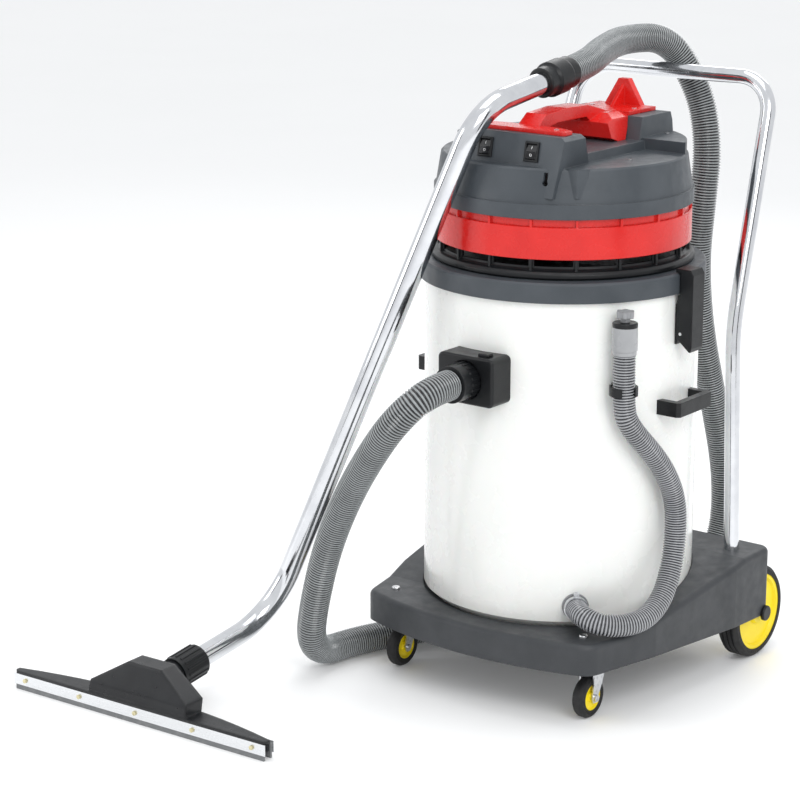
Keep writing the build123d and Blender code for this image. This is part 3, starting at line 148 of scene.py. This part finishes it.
def light_studio():
    bpy.context.scene.view_settings.view_transform = "Standard"
    world = bpy.data.worlds.new("studio_air")
    world.use_nodes = True
    air = world.node_tree.nodes["Background"]
    air.inputs["Color"].default_value = (0.97, 0.985, 1, 1)
    air.inputs["Strength"].default_value = 0.92
    bpy.context.scene.world = world
    middle = (0, 0, 0.5)
    soft_box("key_soft_box", (2.4, -1.6, 2.6), middle, 1.6, 1.6, 42)
    soft_box("fill_soft_box", (-2.6, -2.2, 1.6), middle, 1.2, 2.2, 20)
    soft_box("back_soft_box", (-1.0, 2.8, 2.4), middle, 2.4, 1.2, 24)
    soft_box("top_soft_box", (0, 0, 3.2), middle, 1.6, 1.6, 18)


# ---- finishes ----
class Finish:
    """A Principled surface with the nodes that vary it."""

    def __init__(self, name, **uniform):
        self.material = bpy.data.materials.new(name)
        self.material.use_nodes = True
        self.tree = self.material.node_tree
        self.shader = self.tree.nodes["Principled BSDF"]
        self.place = self.tree.nodes.new("ShaderNodeTexCoord").outputs["Object"]
        self.relief = None
        for label, value in uniform.items():
            self.shader.inputs[label.replace("_", " ")].default_value = value

    def node(self, kind, inputs=None, **settings):
        made = self.tree.nodes.new(kind)
        for label, value in settings.items():
            setattr(made, label, value)
        for label, value in (inputs or {}).items():
            if isinstance(value, bpy.types.NodeSocket):
                self.tree.links.new(value, made.inputs[label])
            else:
                made.inputs[label].default_value = value
        return made

    def feed(self, label, value):
        self.tree.links.new(value, self.shader.inputs[label])

    def stretched(self, scale, turn=(0, 0, 0)):
        mapping = self.node("ShaderNodeMapping", {"Vector": self.place}, vector_type="TEXTURE")
        mapping.inputs["Rotation"].default_value = turn
        mapping.inputs["Scale"].default_value = scale
        return mapping.outputs["Vector"]

    def mottle(self, size, detail=3.0, roughness=0.5, where=None, warp=0.0):
        noise = self.node("ShaderNodeTexNoise", {
            "Vector": where or self.place, "Scale": 1 / size, "Detail": detail,
            "Roughness": roughness, "Distortion": warp})
        return noise.outputs["Fac"]

    def grains(self, size):
        cells = self.node("ShaderNodeTexVoronoi", {"Vector": self.place, "Scale": 1 / size})
        return cells.outputs["Distance"]

    def span(self, value, start, end, low=0.0, high=1.0, smooth=False):
        kind = "SMOOTHSTEP" if smooth else "LINEAR"
        spread = self.node("ShaderNodeMapRange", {
            "Value": value, "From Min": start, "From Max": end, "To Min": low, "To Max": high},
            interpolation_type=kind)
        return spread.outputs["Result"]

    def product(self, first, second):
        times = self.node("ShaderNodeMath", operation="MULTIPLY")
        for socket, value in zip(times.inputs, (first, second)):
            if isinstance(value, bpy.types.NodeSocket):
                self.tree.links.new(value, socket)
            else:
                socket.default_value = value
        return times.outputs[0]

    def height(self):
        return self.node("ShaderNodeSeparateXYZ", {"Vector": self.place}).outputs["Z"]

    def mix(self, share, first, second):
        mixed = self.node("ShaderNodeMix", data_type="RGBA")
        self.tree.links.new(share, mixed.inputs["Factor"])
        for label, value in (("A", first), ("B", second)):
            socket = [s for s in mixed.inputs if s.name == label and s.type == "RGBA"][0]
            if isinstance(value, bpy.types.NodeSocket):
                self.tree.links.new(value, socket)
            else:
                socket.default_value = (*value, 1)
        return [s for s in mixed.outputs if s.type == "RGBA"][0]

    def colour(self, value):
        self.feed("Base Color", value)

    def gloss(self, value):
        self.feed("Roughness", value)

    def softened(self, radius):
        """Moulded and pressed edges catch the light as small rounds."""
        self.relief = self.node("ShaderNodeBevel", {"Radius": radius}, samples=6).outputs["Normal"]
        self.feed("Normal", self.relief)

    def raised(self, height, depth, strength=1.0):
        bump = self.node("ShaderNodeBump", {"Height": height, "Distance": depth, "Strength": strength})
        if self.relief is not None:
            self.tree.links.new(self.relief, bump.inputs["Normal"])
        self.relief = bump.outputs["Normal"]
        self.feed("Normal", self.relief)


def tank_moulding():
    f = Finish("cream_white_tank_moulding", Coat_Weight=0.35, Coat_Roughness=0.08, IOR=1.5,
               Subsurface_Weight=0.05, Subsurface_Scale=0.01)
    broad = f.mottle(0.22, 2)
    milk = f.mix(broad, (0.83, 0.83, 0.80), (0.87, 0.87, 0.85))
    scuffs = f.span(f.mottle(0.012, 6, 0.7, f.stretched((1, 1, 4))), 0.66, 0.74)
    low_dust = f.span(f.height(), TANK_BASE_Z + 0.10, TANK_BASE_Z, 0.0, 0.5, smooth=True)
    dusty = f.mix(f.product(low_dust, f.mottle(0.03, 5)), milk, (0.62, 0.60, 0.55))
    f.colour(f.mix(f.product(scuffs, 0.18), dusty, (0.66, 0.66, 0.64)))
    f.gloss(f.span(f.mottle(0.05, 4), 0.3, 0.7, 0.20, 0.34))
    f.raised(f.mottle(0.12, 1), 0.0005, 0.2)
    f.raised(f.mottle(0.004, 2), 0.00006, 0.2)
    return f.material


def moulded_plastic(name, dark, light, rough=(0.36, 0.52), grain=0.0009, grain_depth=0.00014, coat=0.0,
                    edge=0.002, body_ior=1.48):
    f = Finish(name, IOR=body_ior, Coat_Weight=coat, Coat_Roughness=0.12)
    f.softened(edge)
    broad = f.span(f.mottle(0.06, 3), 0.3, 0.7)
    flecks = f.span(f.mottle(0.0025, 4, 0.7), 0.62, 0.78, 0.0, 0.35)
    body = f.mix(broad, dark, light)
    pale = tuple(min(1.0, 1.5 * c + 0.02) for c in light)
    f.colour(f.mix(flecks, body, pale))
    f.gloss(f.span(f.mottle(0.018, 5), 0.3, 0.7, *rough))
    f.raised(f.grains(grain), grain_depth, 0.5)
    f.raised(f.mottle(0.03, 2), 0.0006, 0.3)
    return f.material


def polished_chrome():
    f = Finish("polished_chrome_tube", Metallic=1.0)
    haze = f.span(f.mottle(0.05, 5, 0.6), 0.35, 0.7)
    f.colour(f.mix(haze, (0.74, 0.75, 0.77), (0.62, 0.63, 0.66)))
    smears = f.span(f.mottle(0.02, 6, 0.7), 0.40, 0.75, 0.08, 0.20)
    f.gloss(smears)
    f.raised(f.mottle(0.05, 1), 0.0003, 0.10)
    f.raised(f.mottle(0.0016, 3, 0.7), 0.00001, 0.15)
    return f.material


def plated_steel(name, dark, light, rough, scratch=0.0006):
    f = Finish(name, Metallic=1.0)
    f.colour(f.mix(f.span(f.grains(0.006), 0.1, 0.6), dark, light))
    f.gloss(f.span(f.mottle(0.004, 5, 0.7), 0.3, 0.7, *rough))
    f.raised(f.mottle(scratch, 3, 0.6), 0.00004, 0.4)
    return f.material


def brushed_strip():
    f = Finish("brushed_aluminium_strip", Metallic=1.0)
    lines = f.mottle(0.0006, 4, 0.7, f.stretched((60, 1, 1), turn=(0, 0, math.radians(2.4))))
    f.colour(f.mix(lines, (0.60, 0.61, 0.63), (0.86, 0.87, 0.88)))
    f.gloss(f.span(lines, 0.25, 0.75, 0.18, 0.36))
    f.raised(lines, 0.00005, 0.5)
    return f.material


def black_rubber(name, base=(0.007, 0.007, 0.008), dust=(0.028, 0.027, 0.026), rough=(0.55, 0.8)):
    f = Finish(name, IOR=1.5)
    f.colour(f.mix(f.span(f.mottle(0.012, 6, 0.65), 0.48, 0.8), base, dust))
    f.gloss(f.span(f.mottle(0.006, 4), 0.3, 0.7, *rough))
    f.raised(f.mottle(0.0012, 4, 0.7), 0.0002, 0.5)
    return f.material


def hose_plastic(name, crest, painted_groove_shade):
    f = Finish(name, IOR=1.5, Coat_Weight=0.45, Coat_Roughness=0.12)
    groove = f.node("ShaderNodeAttribute", attribute_name="groove").outputs["Fac"]
    tone = f.mix(f.span(f.mottle(0.05, 4), 0.3, 0.7), crest, tuple(1.25 * c for c in crest))
    # The grooves are painted near-black from the groove share: painted shade in the valleys between the
    # crests, laid over the plastic's own grey.
    f.colour(f.mix(f.span(groove, 0.05, 0.62), tone, painted_groove_shade))
    f.gloss(f.span(f.mottle(0.01, 4), 0.3, 0.7, 0.20, 0.34))
    f.raised(f.mottle(0.0015, 3), 0.00008, 0.4)
    return f.material


def felt_cloth():
    f = Finish("needled_felt_cloth", Sheen_Weight=0.4, Sheen_Roughness=0.5)
    fibres = f.mottle(0.0014, 8, 0.75, warp=1.5)
    f.colour(f.mix(fibres, (0.52, 0.50, 0.45), (0.82, 0.80, 0.74)))
    f.gloss(f.span(fibres, 0.3, 0.7, 0.78, 0.95))
    f.raised(fibres, 0.0006, 0.8)
    return f.material


def studio_paper():
    f = Finish("white_studio_paper", Emission_Color=(1, 1, 1, 1), Emission_Strength=0.07)
    f.colour(f.mix(f.mottle(0.8, 3), (0.90, 0.90, 0.90), (0.93, 0.93, 0.93)))
    f.gloss(f.span(f.mottle(0.3, 3), 0.3, 0.7, 0.55, 0.65))
    return f.material


def card_black():
    f = Finish("matt_black_card")
    f.colour(f.mix(f.mottle(0.2, 2), (0.012, 0.012, 0.014), (0.02, 0.02, 0.022)))
    f.gloss(f.span(f.mottle(0.2, 2), 0.3, 0.7, 0.8, 0.9))
    return f.material


def all_finishes():
    return {
        "tank": tank_moulding(),
        "slate": moulded_plastic("slate_grey_moulding", (0.040, 0.048, 0.057), (0.058, 0.067, 0.077)),
        "deck": moulded_plastic("charcoal_deck_moulding", (0.030, 0.033, 0.037), (0.044, 0.047, 0.052),
                                (0.42, 0.58), 0.0014, 0.0002),
        "black": moulded_plastic("black_satin_moulding", (0.0045, 0.005, 0.006), (0.009, 0.010, 0.0115),
                                 (0.28, 0.42), body_ior=1.40),
        "red": moulded_plastic("signal_red_moulding", (0.58, 0.008, 0.006), (0.68, 0.014, 0.010),
                               (0.20, 0.34), 0.0012, 0.00004, 0.15),
        "yellow": moulded_plastic("yellow_wheel_moulding", (0.88, 0.66, 0.002), (0.95, 0.76, 0.004),
                                  (0.34, 0.48), 0.0012, 0.00004),
        "knob": moulded_plastic("dove_grey_knob_moulding", (0.22, 0.225, 0.235), (0.29, 0.295, 0.305)),
        "rocker": moulded_plastic("glossy_black_rocker", (0.008, 0.008, 0.009), (0.014, 0.014, 0.016),
                                  (0.14, 0.24), 0.0012, 0.00003, 0.5),
        "float": moulded_plastic("natural_white_float", (0.70, 0.70, 0.67), (0.78, 0.78, 0.76)),
        "motor": plated_steel("painted_motor_steel", (0.18, 0.18, 0.19), (0.28, 0.28, 0.29), (0.35, 0.5)),
        "zinc": plated_steel("zinc_plated_steel", (0.52, 0.53, 0.55), (0.70, 0.71, 0.73), (0.22, 0.42)),
        "brass": plated_steel("yellow_passivated_screw", (0.50, 0.44, 0.26), (0.66, 0.60, 0.38), (0.25, 0.4)),
        "steel": plated_steel("bright_steel", (0.58, 0.58, 0.60), (0.70, 0.70, 0.71), (0.20, 0.34)),
        "cuff_grey": moulded_plastic("silver_grey_cuff_moulding", (0.30, 0.305, 0.315), (0.38, 0.385, 0.395),
                                     (0.24, 0.36), 0.0012, 0.00006, 0.2),
        "chrome": polished_chrome(),
        "strip": brushed_strip(),
        "tyre": black_rubber("black_tyre_rubber"),
        "gasket": black_rubber("soft_gasket_rubber", (0.03, 0.03, 0.032), (0.07, 0.07, 0.07)),
        "lip": black_rubber("grey_lip_rubber", (0.16, 0.165, 0.17), (0.26, 0.26, 0.26), (0.45, 0.6)),
        # The second colour of each hose is painted shade for its grooves, not a second plastic.
        "suction": hose_plastic("grey_suction_hose_plastic", (0.235, 0.25, 0.255), (0.006, 0.007, 0.008)),
        "drain": hose_plastic("grey_drain_hose_plastic", (0.29, 0.295, 0.31), (0.022, 0.024, 0.028)),
        "cloth": felt_cloth(),
        "print": moulded_plastic("white_pad_print", (0.74, 0.74, 0.74), (0.86, 0.86, 0.86)),
        "tool": moulded_plastic("black_floor_tool_moulding", (0.006, 0.0065, 0.008), (0.012, 0.013, 0.015),
                                (0.26, 0.40), 0.0009, 0.0001, 0.0, 0.007, 1.42),
    }


def dress_frame(finishes):
    own = {"tool_blades": "lip", "drain_cuff": "cuff_grey", "drain_spout": "knob",
           "tool_screws": "brass", "tool_body": "tool"}
    for part in frame["record"]["subparts"]:
        slot = "suction" if part["material_slot"] == "grey_hose" else part["material_slot"]
        finish = finishes[own.get(part["node"], slot)]
        for place in nodes[part["node"]].material_slots:
            place.material = finish


# ---- hoses ----
def centre_line(name, route):
    curve = bpy.data.curves.new(name, "CURVE")
    curve.dimensions = "3D"
    spline = curve.splines.new("NURBS")
    spline.points.add(len(route) - 1)
    for point, place in zip(spline.points, route):
        point.co = (*place, 1)
    spline.order_u = 3
    spline.use_endpoint_u = True
    spline.resolution_u = 60
    holder = bpy.data.objects.new(name, curve)
    bpy.context.collection.objects.link(holder)
    graph = bpy.context.evaluated_depsgraph_get()
    line = bpy.data.meshes.new_from_object(holder.evaluated_get(graph))
    places = [vertex.co.copy() for vertex in line.vertices]
    bpy.data.meshes.remove(line)
    bpy.data.objects.remove(holder)
    return places


class Route:
    """A line that gives its place and direction at any length along it."""

    def __init__(self, places):
        self.places = places
        self.marks = [0.0]
        for before, after in zip(places, places[1:]):
            self.marks.append(self.marks[-1] + (after - before).length)
        self.length = self.marks[-1]
        self.at = 0

    def place(self, distance):
        distance = min(max(distance, 0.0), self.length)
        while self.at > 0 and self.marks[self.at] > distance:
            self.at -= 1
        while self.at < len(self.places) - 2 and self.marks[self.at + 1] < distance:
            self.at += 1
        part = self.marks[self.at + 1] - self.marks[self.at]
        share = (distance - self.marks[self.at]) / part
        return self.places[self.at].lerp(self.places[self.at + 1], share)

    def direction(self, distance, reach=0.002):
        return (self.place(distance + reach) - self.place(distance - reach)).normalized()


# One corrugation: (share of the pitch, share of the depth).
PLEAT = ((0.0, 1.0), (0.20, 0.80), (0.36, 0.14), (0.54, 0.0), (0.72, 0.05), (0.88, 0.62))


def corrugated_tube(name, places, crest_r, bore_r, pleats):
    """A closed tube along a line, pleated outside and plain inside."""
    pitch, depth = pleats
    line = Route(places)
    count = round(line.length / pitch)
    step = line.length / count
    stations = [(0.0, crest_r - depth, 1.0)]
    for index in range(count):
        for share, groove in PLEAT[0 if index else 1:]:
            stations.append(((index + share) * step, crest_r - depth * groove, groove))
    stations.append((line.length, crest_r - depth, 1.0))
    inner = [(line.length * (1 - index / (count // 2)), bore_r, 1.0) for index in range(count // 2 + 1)]
    mesh = bmesh.new()
    # Each vertex keeps its groove share, which the hose finish uses to paint shade into the grooves.
    groove_mark = mesh.verts.layers.float.new("groove")
    across = line.direction(0).orthogonal().normalized()
    frames = {}
    last = line.direction(0)
    for distance, _, _ in stations:
        ahead = line.direction(distance)
        across = last.rotation_difference(ahead) @ across
        last = ahead
        frames[distance] = (ahead, across.copy())
    marks = sorted(frames)
    rings = []
    for distance, radius, groove in stations + inner:
        if distance in frames:
            ahead, side = frames[distance]
        else:
            near = min(marks, key=lambda mark: abs(mark - distance))
            ahead, side = frames[near]
        other = ahead.cross(side)
        centre = line.place(distance)
        ring = []
        for turn in range(HOSE_SIDES):
            angle = 2 * math.pi * turn / HOSE_SIDES
            vertex = mesh.verts.new(centre + radius * (math.cos(angle) * side + math.sin(angle) * other))
            vertex[groove_mark] = groove
            ring.append(vertex)
        rings.append(ring)
    for here, after in zip(rings, rings[1:] + rings[:1]):
        for turn in range(HOSE_SIDES):
            beside = (turn + 1) % HOSE_SIDES
            face = mesh.faces.new((here[turn], here[beside], after[beside], after[turn]))
            face.smooth = True
    return finished(name, mesh)


def finished(name, mesh):
    mesh.normal_update()
    data = bpy.data.meshes.new(name)
    mesh.to_mesh(data)
    mesh.free()
    thing = bpy.data.objects.new(name, data)
    bpy.context.collection.objects.link(thing)
    return thing


def fit_hose(name, route, radius, bore, pleats, finish, node):
    places = centre_line(name + "_line", route)
    hose = corrugated_tube(name, places, radius, bore, pleats)
    hose.data.materials.append(finish)
    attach(hose, "vacuum")
    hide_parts(node)


def fit_hoses(finishes):
    fit_hose("corrugated_suction_hose", SUCTION_ROUTE, SUCTION_HOSE_R, SUCTION_BORE_R, SUCTION_PLEATS,
             finishes["suction"], "suction_hose")
    fit_hose("corrugated_drain_hose", DRAIN_ROUTE, DRAIN_HOSE_R, DRAIN_BORE_R, DRAIN_PLEATS,
             finishes["drain"], "drain_hose")


# ---- filter bag ----
BAG_LINE = [(0.2145, 0.6795), (0.2060, 0.6790), (0.2040, 0.6700), (0.1900, 0.6440), (0.1760, 0.6170),
            (0.1620, 0.5900), (0.1520, 0.5725), (0.1460, 0.5665), (0.1360, 0.5625), (0.1100, 0.5600),
            (0.0700, 0.5570), (0.0300, 0.5550)]
BAG_SEGMENTS = 144
BAG_FOLDS = 18
BAG_SAGS = 7
FOLD_DEPTH = 0.0014
SAG_DEPTH = 0.0008
LAST_SLACK_ROW = 8
BAG_FOOT_Z = 0.5545
FELT_THICKNESS = 0.0018
HEM_R = 0.2049
HEM_Z = 0.6742
HEM_STITCHES = 220
STITCH_SIZE = (0.0007, 0.0019, 0.0007)


def sew_filter_bag(finishes):
    """A felt bag hung from the tank's rim, with soft folds down its cone and a slack floor."""
    mesh = bmesh.new()
    rings = []
    for row, (radius, height) in enumerate(BAG_LINE):
        slack = math.sin(math.pi * min(row, LAST_SLACK_ROW) / LAST_SLACK_ROW)
        ring = []
        for index in range(BAG_SEGMENTS):
            angle = 2 * math.pi * index / BAG_SEGMENTS
            fold = (FOLD_DEPTH * slack * math.sin(BAG_FOLDS * angle)
                    + SAG_DEPTH * slack * math.sin(BAG_SAGS * angle + 0.9))
            ring.append(mesh.verts.new(((radius + fold) * math.cos(angle), (radius + fold) * math.sin(angle),
                                        height + 0.3 * fold)))
        rings.append(ring)
    for upper, lower in zip(rings, rings[1:]):
        for index in range(BAG_SEGMENTS):
            beside = (index + 1) % BAG_SEGMENTS
            mesh.faces.new((upper[index], lower[index], lower[beside], upper[beside]))
    foot = mesh.verts.new((0, 0, BAG_FOOT_Z))
    for index in range(BAG_SEGMENTS):
        mesh.faces.new((rings[-1][index], foot, rings[-1][(index + 1) % BAG_SEGMENTS]))
    bmesh.ops.recalc_face_normals(mesh, faces=mesh.faces)
    for face in mesh.faces:
        face.smooth = True
    bag = finished("felt_filter_bag", mesh)
    wall = bag.modifiers.new("felt_thickness", "SOLIDIFY")
    wall.thickness = FELT_THICKNESS
    wall.offset = 0
    graph = bpy.context.evaluated_depsgraph_get()
    bag.data = bpy.data.meshes.new_from_object(bag.evaluated_get(graph))
    bag.modifiers.clear()
    bag.data.materials.clear()
    bag.data.materials.append(finishes["cloth"])
    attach(bag, "vacuum")
    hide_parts("filter_bag")
    stitches = ring_of_beads("filter_bag_hem_stitches", finishes["cloth"], HEM_STITCHES, HEM_R,
                             STITCH_SIZE, (0, 0, HEM_Z), (0, 0, 0))
    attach(stitches, "vacuum")


# ---- repeated ribs and stitches ----
def bead_ring_tree():
    """Rounded beads set evenly round a circle, then placed and turned."""
    tree = bpy.data.node_groups.new("ring_of_beads", "GeometryNodeTree")
    face = tree.interface
    face.new_socket("Geometry", in_out="INPUT", socket_type="NodeSocketGeometry")
    face.new_socket("Geometry", in_out="OUTPUT", socket_type="NodeSocketGeometry")
    sizes = {}
    for label, kind in (("Count", "NodeSocketInt"), ("Ring Radius", "NodeSocketFloat"),
                        ("Radial Size", "NodeSocketFloat"), ("Round Size", "NodeSocketFloat"),
                        ("Axial Size", "NodeSocketFloat"), ("Centre", "NodeSocketVector"),
                        ("Turn", "NodeSocketVector"), ("Finish", "NodeSocketMaterial")):
        sizes[label] = face.new_socket(label, in_out="INPUT", socket_type=kind).identifier
    new, link = tree.nodes.new, tree.links.new
    source = new("NodeGroupInput")
    circle = new("GeometryNodeMeshCircle")
    link(source.outputs["Count"], circle.inputs["Vertices"])
    link(source.outputs["Ring Radius"], circle.inputs["Radius"])
    bead = new("GeometryNodeMeshIcoSphere")
    bead.inputs["Radius"].default_value = 1.0
    bead.inputs["Subdivisions"].default_value = 2
    smooth = new("GeometryNodeSetShadeSmooth")
    link(bead.outputs["Mesh"], smooth.inputs["Geometry"])
    outward = new("FunctionNodeAlignEulerToVector")
    outward.axis = "X"
    outward.pivot_axis = "Z"
    spot = new("GeometryNodeInputPosition")
    link(spot.outputs["Position"], outward.inputs["Vector"])
    size = new("ShaderNodeCombineXYZ")
    link(source.outputs["Radial Size"], size.inputs["X"])
    link(source.outputs["Round Size"], size.inputs["Y"])
    link(source.outputs["Axial Size"], size.inputs["Z"])
    placed = new("GeometryNodeInstanceOnPoints")
    link(circle.outputs["Mesh"], placed.inputs["Points"])
    link(smooth.outputs["Geometry"], placed.inputs["Instance"])
    link(outward.outputs["Rotation"], placed.inputs["Rotation"])
    link(size.outputs["Vector"], placed.inputs["Scale"])
    moved = new("GeometryNodeTransform")
    link(placed.outputs["Instances"], moved.inputs["Geometry"])
    link(source.outputs["Centre"], moved.inputs["Translation"])
    link(source.outputs["Turn"], moved.inputs["Rotation"])
    real = new("GeometryNodeRealizeInstances")
    link(moved.outputs["Geometry"], real.inputs["Geometry"])
    painted = new("GeometryNodeSetMaterial")
    link(real.outputs["Geometry"], painted.inputs["Geometry"])
    link(source.outputs["Finish"], painted.inputs["Material"])
    sink = new("NodeGroupOutput")
    link(painted.outputs["Geometry"], sink.inputs["Geometry"])
    return tree, sizes


BEAD_TREE = bead_ring_tree()


def ring_of_beads(name, finish, count, radius, bead, centre, turn):
    """bead is half its size outwards, round the ring and along the ring's axis."""
    tree, sizes = BEAD_TREE
    blank = bpy.data.meshes.new(name)
    thing = bpy.data.objects.new(name, blank)
    bpy.context.collection.objects.link(thing)
    maker = thing.modifiers.new("beads", "NODES")
    maker.node_group = tree
    values = {"Count": count, "Ring Radius": radius, "Radial Size": bead[0], "Round Size": bead[1],
              "Axial Size": bead[2], "Centre": centre, "Turn": turn, "Finish": finish}
    for label, value in values.items():
        maker[sizes[label]] = value
    graph = bpy.context.evaluated_depsgraph_get()
    graph.update()
    made = bpy.data.meshes.new_from_object(thing.evaluated_get(graph))
    made.name = name
    thing.modifiers.clear()
    thing.data = made
    return thing


def wheel_middle(node):
    low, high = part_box(node)
    return [(a + b) / 2 for a, b in zip(low, high)], high[0] - low[0]


# Half a rib's size along the axle, and how far its middle is sunk in the tyre's side.
RIB_AXIAL = 0.0008
RIB_SUNK = 0.0002


def rib_the_tyres(finishes):
    """Moulded ribs round both shoulders of each tyre."""
    quarter = (0, math.pi / 2, 0)
    for side in ("left", "right"):
        for wheel, body, ribs, ring_r, radial, wide in (
                ("rear", "rear_wheel", 60, REAR_WHEEL_R - 0.0095, 0.0028, 0.0011),
                ("caster", "caster_wheel", 40, CASTER_R - 0.0080, 0.0022, 0.0008)):
            middle, width = wheel_middle(f"{side}_{wheel}_tyre")
            for face, sign in (("inner", -1), ("outer", 1)):
                centre = (middle[0] + sign * (width / 2 - RIB_SUNK), middle[1], middle[2])
                ring = ring_of_beads(f"{side}_{wheel}_tyre_{face}_ribs", finishes["tyre"], ribs, ring_r,
                                     (radial, wide, RIB_AXIAL), centre, quarter)
                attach(ring, f"{side}_{body}")


# ---- switch marks ----
MARK_SIDES = 24
# How far a mark goes into the rocker, and how far it stands proud.
MARK_ROOT = 0.0001
MARK_RISE = 0.00012
# Half width, half height, and the hole's share of both.
BAR_MARK = (0.00055, 0.0026, 0.02)
RING_MARK = (0.0022, 0.0022, 0.66)


def flat_faces(node, towards, least):
    """Flat areas of a node that face a direction: (area, centre, outward direction)."""
    found = []
    mesh = nodes[node].data
    for polygon in mesh.polygons:
        if polygon.normal.dot(towards) < least:
            continue
        for area in found:
            if area["out"].dot(polygon.normal) > 0.9995 and abs(
                    area["out"].dot(polygon.center - area["centre"] / area["size"])) < 2e-5:
                area["size"] += polygon.area
                area["centre"] += polygon.center * polygon.area
                break
        else:
            found.append({"out": polygon.normal.copy(), "size": polygon.area,
                          "centre": polygon.center * polygon.area})
    found.sort(key=lambda area: -area["size"])
    return [(area["size"], area["centre"] / area["size"], area["out"]) for area in found]


def raised_ring(mesh, centre, out, across, wide, tall, hole):
    """A thin raised ellipse with a hole, hole being its share of the size."""
    up = out.cross(across).normalized()
    if up.z < 0:
        up = -up
    outer, inner, outer_top, inner_top = [], [], [], []
    for index in range(MARK_SIDES):
        angle = 2 * math.pi * index / MARK_SIDES
        ray = across * (wide * math.cos(angle)) + up * (tall * math.sin(angle))
        outer.append(mesh.verts.new(centre + ray - out * MARK_ROOT))
        outer_top.append(mesh.verts.new(centre + ray + out * MARK_RISE))
        inner.append(mesh.verts.new(centre + ray * hole - out * MARK_ROOT))
        inner_top.append(mesh.verts.new(centre + ray * hole + out * MARK_RISE))
    for index in range(MARK_SIDES):
        beside = (index + 1) % MARK_SIDES
        for here, there in ((outer, outer_top), (outer_top, inner_top), (inner_top, inner), (inner, outer)):
            mesh.faces.new((here[index], here[beside], there[beside], there[index]))


def mark_switches(finishes):
    """A plain bar and a plain ring, the usual on and off signs, pad-printed on each rocker."""
    across = Vector((1, 0, 0))
    for side in ("left", "right"):
        pads = flat_faces(f"{side}_rocker", Vector((0, -1, 0.2)).normalized(), 0.7)[:2]
        pads.sort(key=lambda pad: -pad[1].z)
        mesh = bmesh.new()
        for (_, centre, out), (wide, tall, hole) in zip(pads, (BAR_MARK, RING_MARK)):
            raised_ring(mesh, centre, out, across, wide, tall, hole)
        bmesh.ops.recalc_face_normals(mesh, faces=mesh.faces)
        marks = finished(f"{side}_rocker_marks", mesh)
        marks.data.materials.append(finishes["print"])
        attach(marks, f"{side}_switch")


set_camera()
finishes = all_finishes()
dress_frame(finishes)
fit_hoses(finishes)
sew_filter_bag(finishes)
rib_the_tyres(finishes)
mark_switches(finishes)
light_studio()
lay_floor(studio_paper())
dark = card_black()
dark_card("left_dark_card", (-2.2, -3.4, 1.0), (0, 0, 0.5), 0.5, 3.0, dark)
dark_card("right_dark_card", (3.6, -0.4, 1.0), (0, 0, 0.5), 0.7, 3.0, dark)
